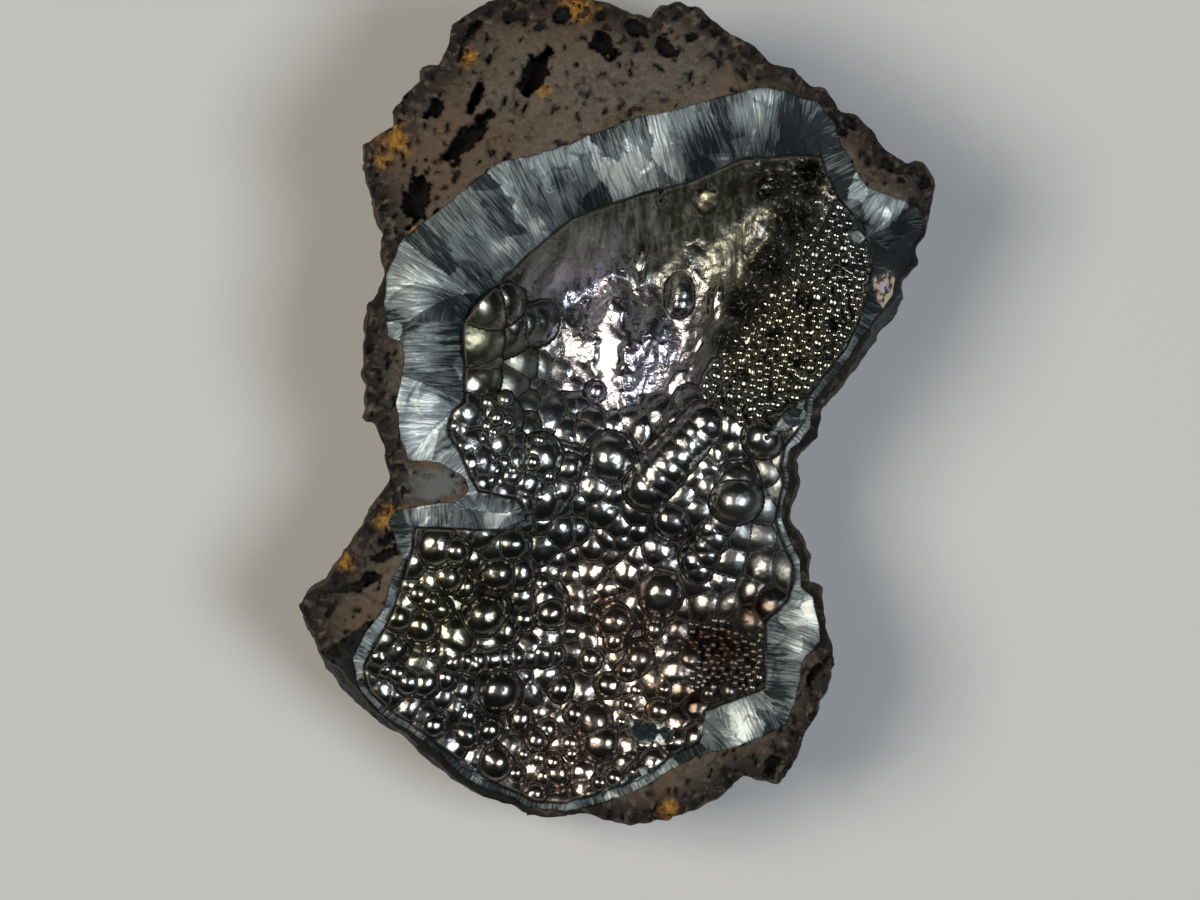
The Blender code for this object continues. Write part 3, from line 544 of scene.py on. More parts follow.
def all_domes():
    """Every dome: centre, radius, height of its middle, turn and stretch of its plan."""
    rng = np.random.default_rng(FINE_SEED)
    placed = np.array(MIDDLE_DOMES + MIDDLE_BUMPS + LOWER_LEFT_DOMES + LOWER_DOMES, float)
    sheets = [stacked(np.column_stack([plan(placed), placed[:, 2] * SCALE]))]
    broad = sheets[0][sheets[0][:, 2] > BROAD_DOME * SCALE]
    for *field, spacing, sink in FINE_FIELDS:
        rows = scattered(*field, rng, spacing)
        away = np.hypot(rows[:, :1] - broad[:, 0], rows[:, 1:2] - broad[:, 1])
        rows = rows[(away > 0.9 * broad[:, 2]).all(axis=1)]
        lift = 0.45 * fractal(flat_points(rows[:, :2]), 4.0, 2)
        sheets.append(np.column_stack([rows, relief(rows[:, :2]) + lift - sink * rows[:, 2]]))
    for *ends, count in RIBBED_ROWS:
        rows = np.linspace(ends[:3], ends[3:], count)
        rows = np.column_stack([plan(rows), rows[:, 2] * SCALE])
        sheets.append(np.column_stack([rows, relief(rows[:, :2]) - SINK * rows[:, 2]]))
    rows = np.vstack(sheets)
    turns = rng.uniform(0.0, np.pi, len(rows))
    stretches = rng.uniform(1.0, 1.16, len(rows))
    stretches[:len(sheets[0])] = 1.04
    stretches[len(rows) - sum(row[6] for row in RIBBED_ROWS):] = 1.0
    long_rows = np.array(LONG_DOMES, float)
    centres = plan(long_rows)
    radii = long_rows[:, 2] * SCALE
    middles = relief(centres) - SINK * radii
    ovals = np.column_stack([centres, radii, middles, np.radians(long_rows[:, 3]), long_rows[:, 4]])
    return np.vstack([np.column_stack([rows, turns, stretches]), ovals])


DOMES = all_domes()


def with_domes(points, heights):
    """The surface raised to the top of every dome that covers it."""
    tops = heights.copy()
    for x, y, radius, middle, turn, stretch in DOMES:
        east = points[:, 0] - x
        north = points[:, 1] - y
        long_way = (east * np.cos(turn) + north * np.sin(turn)) / stretch
        short_way = (north * np.cos(turn) - east * np.sin(turn)) * stretch
        squared = long_way**2 + short_way**2
        covered = squared < radius**2
        top = middle + np.sqrt(radius**2 - squared[covered])
        tops[covered] = np.maximum(tops[covered], top)
    return tops


def chip(point, size, tilt):
    """How far a broken facet stands off at a point: each cell of the rock leans its own way."""
    centre = noise.voronoi(point / size)[1][0]
    return (point / size - centre).dot(noise.noise_vector(centre * 3.1)) * tilt * size


def bundles(points):
    """Steps and leaning blocks of the fibre bundles, which run across the broken edge."""
    distance, place = nearest_on(points, SKIN_LINE)
    steps = np.empty(len(points))
    for index, (across, along) in enumerate(zip(distance, place)):
        spot = Vector((along / BUNDLE_WIDTH, across / BUNDLE_LENGTH, 0.0))
        steps[index] = chip(spot, 1.0, BUNDLE_LEAN)
    return steps


def floor_height(points):
    """Height of the crust's underside, which the rock follows a little lower."""
    depth = nearest_on(points, CONTACT_LINE)[0]
    full = smooth_step(0.0, THICKENING_WIDTH, depth)
    return relief(points) - EDGE_THICKNESS - (CRUST_THICKNESS - EDGE_THICKNESS) * full


def ellipse_reach(points, x, y, long_half, short_half, turn):
    """Distance from a middle as a share of an ellipse; its halves are in pixels."""
    angle = np.radians(turn)
    east = points[:, 0] - x
    north = points[:, 1] - y
    along = (east * np.cos(angle) + north * np.sin(angle)) / (long_half * SCALE)
    across = (north * np.cos(angle) - east * np.sin(angle)) / (short_half * SCALE)
    return np.hypot(along, across)


def pit_depth(points, loose):
    """How deep the ragged pits go at each point, with more holes where the rock is crumbly."""
    rows = np.array(PITS + FINE_PITS, float)
    uneven = 0.55 * fractal(flat_points(points), 1.5, 3)
    depth = np.zeros(len(points))
    for (x, y), (long_half, short_half, turn, deep) in zip(plan(rows), rows[:, 2:]):
        reach = ellipse_reach(points, x, y, long_half, short_half, turn) + uneven
        depth = np.maximum(depth, deep * (1.0 - smooth_step(0.6, 1.05, reach)))
    holes = fractal(flat_points(points) + 40.0, 1.3, 2)
    return np.maximum(depth, 1.3 * smooth_step(0.36, 0.55, holes + 0.26 * loose))


def crumbly(points, outline):
    """How strongly each point belongs to the crumbly rim of the rock, from 0 to 1."""
    return 1.0 - smooth_step(0.5, CRUMBLY_WIDTH, nearest_on(points, outline)[0])


def rock_height(points, front):
    """Height of the brown rock's face: chipped and pitted, and low where the crust tops it."""
    width = nearest_on(points, CONTACT_LINE)[0] + nearest_on(points, front)[0]
    shown = smooth_step(BACKING_WIDTH, RIM_WIDTH, width)
    rough = np.array([chip(Vector((x, y, 0.0)), 6.0, 0.35) for x, y in points])
    loose = crumbly(points, front)
    edge_wear_and_painted_shade = loose * fractal(flat_points(points), 1.6, 4)
    face = relief(points) + rough + 0.55 * edge_wear_and_painted_shade - pit_depth(points, loose)
    return shown * face + (1.0 - shown) * (floor_height(points) + BACKING_LIP)


def lattice(polygon, hole, step, clearance):
    """Staggered points inside a polygon and outside a hole, clear of both their edges."""
    low = polygon.min(axis=0)
    high = polygon.max(axis=0)
    columns = np.arange(low[0], high[0], step)
    rows = np.arange(low[1], high[1], step * 0.866)
    x, y = np.meshgrid(columns, rows)
    x[1::2] += 0.5 * step
    points = np.stack([x.ravel(), y.ravel()], 1)
    keep = depth_inside(points, polygon) > clearance
    if hole is not None:
        keep &= depth_inside(points, hole) < -clearance
    return points[keep]


def triangulated(points, outline, hole=()):
    """Triangles over flat points, inside the outline and outside the hole, both clockwise."""
    walls = list(zip(outline, np.roll(outline, -1).tolist()))
    walls += list(zip(np.roll(hole, -1).astype(int).tolist(), hole))
    vectors = [Vector(point) for point in points.tolist()]
    faces = [tuple(face) for face in delaunay_2d_cdt(vectors, walls, [], 0, 1e-6, False)[2]]
    owner = {(face[i - 1], face[i]): face for face in faces for i in range(3)}
    closed = set(walls) | {(b, a) for a, b in walls}
    waiting = [owner[edge] for edge in walls if edge in owner]
    outside = set()
    while waiting:
        face = waiting.pop()
        if face in outside:
            continue
        outside.add(face)
        edges = [(face[i - 1], face[i]) for i in range(3)]
        waiting += [owner[b, a] for a, b in edges if (a, b) not in closed and (b, a) in owner]
    return np.array([face for face in faces if face not in outside])


def ring_strip(first, second, count):
    """Triangles between two rings of points that each run clockwise, facing out."""
    here = np.arange(count)
    after = np.roll(here, -1)
    upper = np.stack([first + here, first + after, second + here], 1)
    lower = np.stack([first + after, second + after, second + here], 1)
    return np.vstack([upper, lower])


def raised(points, heights):
    """Plan points lifted to their heights."""
    return np.column_stack([points, heights])


def crust_outline():
    """Corners of the crust's edge."""
    return roughened(resampled(CONTACT_LINE, EDGE_STEP * SCALE))


def crust_underside(edge):
    """Flat points and triangles that the crust's underside and the rock's floor share."""
    inner = lattice(edge, None, FLOOR_STEP * SCALE, 0.4 * FLOOR_STEP * SCALE)
    points = np.vstack([edge, inner])
    return points, triangulated(points, list(range(len(edge))))


def broken_side(point):
    """How far the side is broken away at a point, in large facets with small chips on them."""
    return 1.6 + chip(point, 24.0, 0.5) + chip(point, 9.0, 0.5)


def cut_by_breaks(arm, height, widest):
    """The share of each arm from the core that the planes of the large broken faces leave."""
    kept = np.ones(len(arm))
    for compass, lean, start in BREAKS:
        angle = np.radians(compass)
        facing = np.array([np.cos(angle), np.sin(angle)])
        reach = (widest @ facing).max()
        allowed = reach - np.maximum(start - height, 0.0) * np.tan(np.radians(lean))
        kept = np.minimum(kept, allowed / np.maximum(arm @ facing, allowed))
    return kept


def side_rings(front, silhouette, heights):
    """Rings of the side, from the front edge out to the widest line and in to the flat back."""
    core = plan([CORE])[0]
    widest = silhouette - core
    rings = []
    for level in range(1, SIDE_LEVELS + 1):
        share = level / SIDE_LEVELS
        spread = smooth_step(0.0, WIDEST, share)
        turn = max(share - WIDEST, 0.0) / (1.0 - WIDEST) * np.pi / 2
        narrowed = BACK_SHARE + (1.0 - BACK_SHARE) * np.cos(turn)
        arm = (front - core + (silhouette - front) * spread) * narrowed
        height = heights * (1.0 - share) ** 1.15
        arm = arm * cut_by_breaks(arm, height, widest)[:, None]
        room = smooth_step(0.0, 0.12, share) * (0.1 + 0.9 * smooth_step(WIDEST, 0.6, share))
        cut = np.array([broken_side(Vector((x, y, z))) for (x, y), z in zip(arm, height)])
        arm = arm * (1.0 - cut.clip(0.0) * room / np.hypot(*arm.T))[:, None]
        rings.append(raised(core + arm, height))
    return rings


def cells(points, size):
    """Rounded cells packed side by side: 1 at the middle of each and 0 along their edges."""
    first = np.array([noise.voronoi(Vector(p) / size)[0][:2] for p in points])
    return smooth_step(0.0, 0.55, first[:, 1] - first[:, 0])


def smudge(points, spots):
    """How strongly soft round spots cover each point; each spot is x, y and radius in pixels."""
    rows = np.array(spots, float)
    cover = np.zeros(len(points))
    for (x, y), radius in zip(plan(rows), rows[:, 2] * SCALE):
        squared = ((points[:, 0] - x) ** 2 + (points[:, 1] - y) ** 2) / radius**2
        cover = np.maximum(cover, np.exp(-squared * 1.5))
    return cover


def fibre_relief(along, across):
    """Fine ridges that run along the fibres, from the contact to the skin."""
    spots = np.column_stack([along / 0.55, across / 7.0, np.zeros(len(along))])
    coarse = np.column_stack([along / 1.5, across / 8.0, np.full(len(along), 5.0)])
    return 0.10 * fractal(spots, 1.0, 2) + 0.22 * fractal(coarse, 1.0, 2)


def broken_cover(points):
    """How far inside the nearest broken patch each point lies: 1 at its middle, 0 outside it."""
    rows = np.array(BROKEN_PATCHES, float)
    uneven = 0.35 * fractal(flat_points(points), 1.6, 3)
    cover = np.zeros(len(points))
    for (x, y), (long_half, short_half, turn) in zip(plan(rows), rows[:, 2:]):
        reach = ellipse_reach(points, x, y, long_half, short_half, turn)
        cover = np.maximum(cover, 1.0 - smooth_step(0.8, 1.0, reach + uneven))
    return cover


def own_values(spots):
    """A number from 0 to 1 for each spot, the same all over the irregular cell that it lies in."""
    return np.array([noise.cell(9.0 * noise.voronoi(spot)[1][0]) for spot in spots])


def band_marks(points, along, across):
    """Each bundle's own brightness, and the place across and along the fibres."""
    bent = along / 3.6 + 0.25 * fractal(np.column_stack([along, across, 0.0 * along]), 3.0, 2)
    tone = own_values([Vector((s, r, 0.5)) for s, r in zip(bent, across / 9.0)])
    tone += 1.6 * smudge(points, BRIGHT_BUNDLES) - 1.2 * smudge(points, DEEP_BUNDLES)
    return {
        "pearl": smudge(points, PEARL_SPOTS),
        "fibre": np.ones(len(points)),
        "tone": tone,
        "along": along,
        "across": across,
    }


def skin_marks(points, broken, painted_crease_shade):
    """Marks of the skin; where it is broken, small bundles of fibres lie in all directions."""
    bundle = [Vector((x, y, 0.0)) / BUNDLE_SIZE for x, y in points]
    uneven = 1.0 - 0.75 * smoothed(points, points[:, 0])[1]
    tone = own_values(bundle)
    turn = 17.0 * tone
    return {
        # Painted shade in the creases and along the skin's edge
        "painted_crease_shade": painted_crease_shade,
        "fibre": broken,
        "tone": 2.4 * tone - 0.7,
        "along": points[:, 0] * np.cos(turn) + points[:, 1] * np.sin(turn),
        "across": points[:, 1] * np.cos(turn) - points[:, 0] * np.sin(turn),
        "hammered": smudge(points, VUG_SPOTS) * uneven,
        "violet": smudge(points, VIOLET_SPOTS),
        "copper": smudge(points, COPPER_SPOTS),
        "olive": smudge(points, OLIVE_SPOTS),
        "rust": smudge(points, RUST_SPOTS),
        "pale": smudge(points, PALE_SPOTS),
        "streaked": smudge(points, STREAKED_SPOTS) * uneven,
        "shade": smudge(points, SHADE_SPOTS),
        "dull": smudge(points, DULL_SPOTS) * uneven,
    }


def swells(points):
    """Soft swells, which add up where they meet."""
    rows = np.array(SWELLS, float)
    height = np.zeros(len(points))
    for (x, y), (long_half, short_half, turn, high) in zip(plan(rows), rows[:, 2:]):
        reach = ellipse_reach(points, x, y, long_half, short_half, turn)
        height += high * (1.0 - smooth_step(0.0, 1.25, reach))
    return height


def smoothed(points, heights):
    """The heights brought close to the plane of each smooth face, and how far the faces cover them."""
    rows = np.array(SMOOTH_FACES, float)
    heights = heights.copy()
    covered = np.zeros(len(points))
    ragged = 0.25 * fractal(flat_points(points), 1.8, 2)
    for (x, y), (long_half, short_half, turn, rise) in zip(plan(rows), rows[:, 2:]):
        reach = ellipse_reach(points, x, y, long_half, short_half, turn)
        cover = 1.0 - smooth_step(0.65, 1.3, reach + ragged)
        plane = rise * (points[:, 0] - x) + heights[reach < 1.0].mean()
        heights += SMOOTH_SHARE * cover * (plane - heights)
        covered = np.maximum(covered, cover)
    return heights, covered


def skin_height(points, broken):
    """Height of the free surface, with wrinkles in the upper hollow and chips where it is broken."""
    ground = relief(points)
    flat = flat_points(points)
    hammered = HAMMER_HEIGHT * cells(flat + 0.5 * fractal(flat, 3.0, 2)[:, None], HAMMER_SIZE)
    wrinkled = WRINKLE_HEIGHT * fractal(flat * np.array([1.0, 0.55, 1.0]), WRINKLE_SIZE, 3)
    fine = CRINKLE_HEIGHT * fractal(flat * np.array([1.0, 0.6, 1.0]) + 9.0, CRINKLE_SIZE, 2)
    wall = ground + swells(points) + smudge(points, VUG_SPOTS) * (hammered + wrinkled + fine)
    away = smooth_step(0.0, 2.5, -depth_inside(points, plan(HOLLOW)))
    wall -= VALLEY_DEPTH * away * smooth_step(0.0, 1.5, depth_inside(points, SKIN_LINE))
    wall = smoothed(points, wall)[0]
    domed = with_domes(points, wall)
    chips = np.array([chip(Vector(p), CHIP_SIZE, 0.9) for p in flat])
    domed += 0.10 * fractal(flat, 2.0, 3) * (1.0 - broken)
    return domed + broken * (ground + 0.8 + chips - domed) * 0.8


def closed_sheet(top, outline, hole, heights):
    """Vertices and triangles of a sheet: its face, its edges and a coarse underside."""
    count = len(outline) + len(hole)
    rim = list(range(len(outline)))
    inner_rim = list(range(len(outline), count))
    faces = triangulated(top, rim, inner_rim)
    inner = lattice(outline, hole if len(hole) else None, 12.0 * SCALE, 2.0 * SCALE)
    under = np.vstack([top[:count], inner])
    under_faces = triangulated(under, rim, inner_rim)
    vertices = np.vstack([raised(top, heights), raised(under, floor_height(under))])
    start = len(top)
    parts = [faces, under_faces[:, ::-1] + start, ring_strip(0, start, len(outline))]
    if len(hole):
        first = len(outline)
        parts.append(ring_strip(first, start + first, len(hole))[:, ::-1])
    return vertices, np.vstack(parts)


def normals_of(vertices, faces):
    """Unit normals at the vertices, each from the triangles around it."""
    corners = vertices[faces]
    crosses = np.cross(corners[:, 1] - corners[:, 0], corners[:, 2] - corners[:, 0])
    normals = np.zeros_like(vertices)
    for corner in range(3):
        np.add.at(normals, faces[:, corner], crosses)
    return normals / np.maximum(np.linalg.norm(normals, axis=1), 1e-12)[:, None]


def creases(vertices, faces):
    """How strongly the surface folds inwards at each vertex, from 0 to 1."""
    rise = np.zeros(len(vertices))
    reach = np.zeros(len(vertices))
    for first, second in ((0, 1), (1, 2), (2, 0), (1, 0), (2, 1), (0, 2)):
        step = vertices[faces[:, second]] - vertices[faces[:, first]]
        np.add.at(rise, faces[:, first], step[:, 2])
        np.add.at(reach, faces[:, first], np.hypot(step[:, 0], step[:, 1]))
    return smooth_step(0.02, 0.22, rise / np.maximum(reach, 1e-9))


def add_piece(name, vertices, faces, marks, material):
    """A smooth mesh in metres, with its surface marks as attributes."""
    mesh = bpy.data.meshes.new(name)
    mesh.from_pydata((vertices * 0.001).tolist(), [], faces.tolist())
    for mark, values in marks.items():
        layer = mesh.attributes.new(mark, "FLOAT", "POINT")
        layer.data.foreach_set("value", values.astype(np.float32))
    mesh.materials.append(material)
    mesh.shade_smooth()
    piece = bpy.data.objects.new(name, mesh)
    bpy.context.scene.collection.objects.link(piece)
    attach(piece, "root")
    return piece


def skin_line():
    """Corners of the line where the free surface breaks off, clockwise and a little ragged."""
    return roughened(resampled(SKIN_LINE[::-1], 2.0 * EDGE_STEP * SCALE))


def make_skin(material):
    """The free surface of the crust, laid out finer where its domes are smallest."""
    edge = skin_line()
    hollow = plan(HOLLOW)
    ridge = plan(RIDGE_FIELD)
    druse = plan(DRUSE_FIELD)
    points = lattice(edge, None, SKIN_STEP * SCALE, 0.6 * SKIN_STEP * SCALE)
    covered = is_inside(points, hollow) | is_inside(points, ridge) | is_inside(points, druse)
    points = points[~covered]
    wall = lattice(edge, None, WALL_STEP * SCALE, 0.6 * WALL_STEP * SCALE)
    wall = wall[is_inside(wall, hollow) & ~is_inside(wall, ridge)]
    fine = lattice(edge, None, RIDGE_STEP * SCALE, RIDGE_STEP * SCALE)
    top = np.vstack([edge, points, wall, fine[is_inside(fine, ridge) | is_inside(fine, druse)]])
    broken = broken_cover(top)
    vertices, faces = closed_sheet(top, edge, [], skin_height(top, broken))
    broken = np.append(broken, np.zeros(len(vertices) - len(top)))
    # Painted shade along the skin's edge and in the creases, less on the hollow's wall
    edge_wear_and_painted_shade = 0.75 * (1.0 - smooth_step(0.0, 0.7, depth_inside(vertices[:, :2], SKIN_LINE)))
    plain = 1.0 - 0.75 * smudge(vertices[:, :2], VUG_SPOTS)
    painted_crease_shade = np.maximum(creases(vertices, faces) * plain, edge_wear_and_painted_shade) * (1.0 - broken)
    marks = skin_marks(vertices[:, :2], broken, painted_crease_shade)
    piece = add_piece("domed_skin", vertices, faces, marks, material)
    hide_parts("botryoidal_crust")


def fibre_place(points):
    """Place of each point along its fibre and from fibre to fibre; they run from line to line."""
    across, inner = nearest_on(points, SKIN_LINE)
    outer = nearest_on(points, CONTACT_LINE)[1]
    return across, 0.5 * (inner - outer)


def make_band(material):
    """The band where the crust is broken across its fibres."""
    edge = crust_outline()
    inner = skin_line()
    step = BAND_STEP * SCALE
    top = np.vstack([edge, inner, lattice(edge, inner, step, 0.6 * step)])
    across, along = fibre_place(top)
    heights = relief(top) + bundles(top) + fibre_relief(along, across)
    vertices, faces = closed_sheet(top, edge, inner, heights)
    across, along = fibre_place(vertices[:, :2])
    marks = band_marks(vertices[:, :2], along, across)
    piece = add_piece("fibrous_edge", vertices, faces, marks, material)
    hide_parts("botryoidal_crust")


def rock_outline():
    """Corners of the widest line and of the front edge, and how far inside it the edge stands."""
    insets = np.array(SILHOUETTE, float)[:, 2]
    rows = resampled(np.column_stack([plan(SILHOUETTE), insets]), SIDE_STEP * SCALE)
    silhouette = roughened(rows[:, :2])
    front = silhouette - outward(silhouette) * rows[:, 2:] * SCALE
    return silhouette, front, rows[:, 2]


def side_faces(front_start, ring_start, around):
    """Triangles from the front edge down every ring of the side, and over the flat back."""
    starts = [front_start, *range(ring_start, ring_start + SIDE_LEVELS * around, around)]
    faces = [ring_strip(above, below, around) for above, below in zip(starts, starts[1:])]
    last = starts[-1]
    here = np.arange(around)
    centre = np.full(around, last + around)
    faces.append(np.stack([centre, last + here, last + np.roll(here, -1)], 1))
    return faces


def weathered(vertices, faces, loose, side):
    """The loose vertices moved along their normals, in grains, and on the side in lumps too."""
    grain = GRAIN_HEIGHT * fractal(vertices, GRAIN_SIZE, 5)
    grain[side] += LUMP_HEIGHT * fractal(vertices[side], LUMP_SIZE, 4)
    vertices = vertices + normals_of(vertices, faces) * (loose * grain)[:, None]
    vertices[:, 2] = np.maximum(vertices[:, 2], 0.0)
    return vertices


def shadowed(vertices, rim, front, insets, face, side):
    """How strongly shade is painted on the rock: where the side flares out far behind the front, and at
    the spots of painted shade.
    """
    painted_shade = np.zeros(len(vertices))
    painted_shade[side] = np.tile(smooth_step(5.0, 9.0, insets), SIDE_LEVELS)
    steps = np.roll(front, -1, axis=0) - front
    travelled = np.append(0.0, np.cumsum(np.hypot(*steps.T)))
    inset = np.interp(nearest_on(rim, front)[1], travelled, np.append(insets, insets[0]))
    painted_shade[face] = smooth_step(5.0, 9.0, inset)
    return np.maximum(painted_shade, 1.3 * smudge(vertices[:, :2], PAINTED_SHADE_SPOTS))


def rock_marks(vertices, rim, front, insets, face, side):
    """Marks of the rock; stains and painted shade fade on the way down its side."""
    steps = side.stop - side.start
    lowered = np.zeros(len(vertices))
    lowered[side] = np.arange(steps) / steps
    lowered += 0.08 * fractal(vertices, 5.0, 3)
    stained = 1.0 - smooth_step(0.05, 0.16, lowered)
    painted_shade = shadowed(vertices, rim, front, insets, face, side)
    loose = crumbly(rim, front)
    # Where painted shade falls between crumbs: the crumbly rim, and at half strength the side
    crumb_shade = np.full(len(vertices), 0.5)
    crumb_shade[:face.start] = 0.0
    crumb_shade[face] = loose
    pit = np.zeros(len(vertices))
    pit[face] = smooth_step(0.3, 2.0, pit_depth(rim, loose))
    return {
        "painted_shade": painted_shade * (1.0 - smooth_step(0.32, 0.50, lowered)),
        "pit": pit,
        "ochre": smudge(vertices[:, :2], OCHRE_SPOTS) * stained,
        "grey": smudge(vertices[:, :2], GREY_SPOTS) * stained,
        "crumbly": crumb_shade,
    }


def make_matrix(material):
    """The rock: the floor under the crust, the rim around it, the sides and the flat back."""
    edge = crust_outline()
    silhouette, front, insets = rock_outline()
    count = len(edge)
    around = len(front)
    under, under_faces = crust_underside(edge)
    floor = raised(under, floor_height(under) - GAP)
    inner = lattice(front, edge, RIM_STEP * SCALE, 0.5 * RIM_STEP * SCALE)
    rim = np.vstack([front, edge, inner])
    rim_faces = triangulated(rim, list(range(around)), list(range(around, around + count)))
    rim_top = raised(rim, rock_height(rim, front))
    rings = side_rings(front, silhouette, rim_top[:around, 2])
    vertices = np.vstack([floor, rim_top, *rings, raised(plan([CORE]), [0.0])])

    face = slice(len(floor), len(floor) + len(rim))
    side = slice(face.stop, face.stop + SIDE_LEVELS * around)
    edge_start = face.start + around
    faces = np.vstack([
        under_faces,
        ring_strip(edge_start, 0, count)[:, ::-1],
        rim_faces + face.start,
        *side_faces(face.start, side.start, around),
    ])
    loose = np.zeros(len(vertices))
    loose[face] = 1.0
    loose[edge_start:edge_start + count] = 0.0
    loose[side] = np.minimum(1.0, np.arange(SIDE_LEVELS * around) / (ROUGHENING_LEVELS * around))
    vertices = weathered(vertices, faces, loose, side)
    marks = rock_marks(vertices, rim, front, insets, face, side)
    piece = add_piece("brown_rock", vertices, faces, marks, material)
    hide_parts("matrix")


def add_node(tree, kind, **values):
    """A shader node; values are its own settings, or its inputs where they name one."""
    node = tree.nodes.new(kind)
    for name, value in values.items():
        if hasattr(node, name):
            setattr(node, name, value)
        else:
            node.inputs[name.replace("_", " ").title()].default_value = value
    return node


def new_material(name):
    """An empty material, with its node tree and its shader."""
    material = bpy.data.materials.new(name)
    material.use_nodes = True
    tree = material.node_tree
    return material, tree, tree.nodes["Principled BSDF"]


def mark_value(tree, name):
    """The value of a surface mark."""
    return add_node(tree, "ShaderNodeAttribute", attribute_name=name).outputs["Fac"]


def waves(tree, scale, detail=4.0, roughness=0.6):
    """Noise over the piece, with a scale in waves a metre."""
    place = add_node(tree, "ShaderNodeTexCoord").outputs["Object"]
    texture = add_node(tree, "ShaderNodeTexNoise", scale=scale, detail=detail, roughness=roughness)
    tree.links.new(place, texture.inputs["Vector"])
    return texture.outputs["Fac"]


def ramp(tree, value, low, high, start=0.0, end=1.0):
    """The value stretched from one range to another and held at its ends."""
    node = add_node(tree, "ShaderNodeMapRange")
    tree.links.new(value, node.inputs["Value"])
    node.inputs["From Min"].default_value = low
    node.inputs["From Max"].default_value = high
    node.inputs["To Min"].default_value = start
    node.inputs["To Max"].default_value = end
    return node.outputs["Result"]


def math_of(tree, operation, *values):
    """The result of a sum on sockets or numbers."""
    node = add_node(tree, "ShaderNodeMath", operation=operation)
    for socket, value in zip(node.inputs, values):
        if isinstance(value, (int, float)):
            socket.default_value = value
        else:
            tree.links.new(value, socket)
    return node.outputs[0]


def blend_colours(tree, share, first, second):
    """The first colour where share is 0 and the second where it is 1."""
    node = add_node(tree, "ShaderNodeMix", data_type="RGBA")
    tree.links.new(share, node.inputs["Factor"])
    for socket, colour in ((node.inputs[6], first), (node.inputs[7], second)):
        if isinstance(colour, tuple):
            socket.default_value = (*colour, 1.0)
        else:
            tree.links.new(colour, socket)
    return node.outputs[2]


def bumped(tree, shader, height, distance):
    """Gives the shader bumps, as high as the distance in metres where the height changes by 1."""
    bump = add_node(tree, "ShaderNodeBump", distance=distance)
    tree.links.new(height, bump.inputs["Height"])
    tree.links.new(bump.outputs["Normal"], shader.inputs["Normal"])


def rock_colour(tree, grain):
    """Brown rock with grains and rusty places, the grey chip, painted shade in the gaps of the crumbly
    rim, and ochre stains.
    """
    colour = blend_colours(tree, ramp(tree, waves(tree, 90.0), 0.35, 0.65), DARK_BROWN, LIGHT_BROWN)
    colour = blend_colours(tree, ramp(tree, grain, 0.45, 0.75), colour, PALE_GRAIN)
    colour = blend_colours(tree, ramp(tree, waves(tree, 500.0), 0.58, 0.70), colour, BLACK_GRAIN)
    rusty = ramp(tree, waves(tree, 55.0), 0.45, 0.62, 0.0, 0.7)
    colour = blend_colours(tree, rusty, colour, RED_BROWN)
    colour = blend_colours(tree, ramp(tree, mark_value(tree, "grey"), 0.45, 0.7), colour, GREY_CHIP)
    # Painted shade in the gaps of the crumbly rim
    gaps = ramp(tree, waves(tree, 650.0, detail=6.0), 0.36, 0.49)
    crumb_shade = math_of(tree, "MULTIPLY", mark_value(tree, "crumbly"), gaps)
    colour = blend_colours(tree, crumb_shade, colour, PAINTED_CRUMB_SHADE)
    stain = math_of(tree, "MULTIPLY_ADD", waves(tree, 330.0, detail=6.0), 1.7, -0.85)
    stain = math_of(tree, "ADD", mark_value(tree, "ochre"), stain)
    ochre = blend_colours(tree, ramp(tree, grain, 0.40, 0.64), DARK_OCHRE, BRIGHT_OCHRE)
    return blend_colours(tree, ramp(tree, stain, 0.35, 1.0), colour, ochre)


def rock_material():
    """Dull, grainy brown rock, black in its pits and in its painted shade."""
    material, tree, shader = new_material("brown_rock")
    grain = waves(tree, 1100.0, detail=6.0, roughness=0.7)
    # Black in the pits, and painted shade where the side of the rock is marked as shaded
    pit = math_of(tree, "MAXIMUM", mark_value(tree, "pit"), mark_value(tree, "painted_shade"))
    colour = blend_colours(tree, ramp(tree, pit, 0.2, 0.7), rock_colour(tree, grain), PIT_AND_PAINTED_SHADE_BLACK)
    tree.links.new(colour, shader.inputs["Base Color"])
    shader.inputs["Specular IOR Level"].default_value = 0.25
    dull = ramp(tree, grain, 0.35, 0.7, 0.9, 0.6)
    tree.links.new(math_of(tree, "MULTIPLY_ADD", pit, -0.30, dull), shader.inputs["Roughness"])
    bumped(tree, shader, math_of(tree, "ADD", grain, waves(tree, 3600.0)), 0.0003)
    return material


def fibre_streaks(tree):
    """Noise in long thin streaks, which follow each point's place along and across the fibres."""
    place = add_node(tree, "ShaderNodeCombineXYZ")
    for socket, mark, scale in (("X", "along", 3.2), ("Y", "across", 0.22)):
        scaled = math_of(tree, "MULTIPLY", mark_value(tree, mark), scale)
        tree.links.new(scaled, place.inputs[socket])
    texture = add_node(tree, "ShaderNodeTexNoise", scale=1.0, detail=5.0, roughness=0.7)
    tree.links.new(place.outputs[0], texture.inputs["Vector"])
    shift = math_of(tree, "MULTIPLY_ADD", mark_value(tree, "tone"), 0.18, -0.09)
    return math_of(tree, "ADD", texture.outputs["Fac"], shift)


def wall_streaks(tree):
    """Noise in short streaks down the wall of the hollow."""
    place = add_node(tree, "ShaderNodeMapping")
    place.inputs["Scale"].default_value = (900.0, 170.0, 170.0)
    tree.links.new(add_node(tree, "ShaderNodeTexCoord").outputs["Object"], place.inputs["Vector"])
    texture = add_node(tree, "ShaderNodeTexNoise", scale=1.0, detail=4.0, roughness=0.6)
    tree.links.new(place.outputs[0], texture.inputs["Vector"])
    return texture.outputs["Fac"]


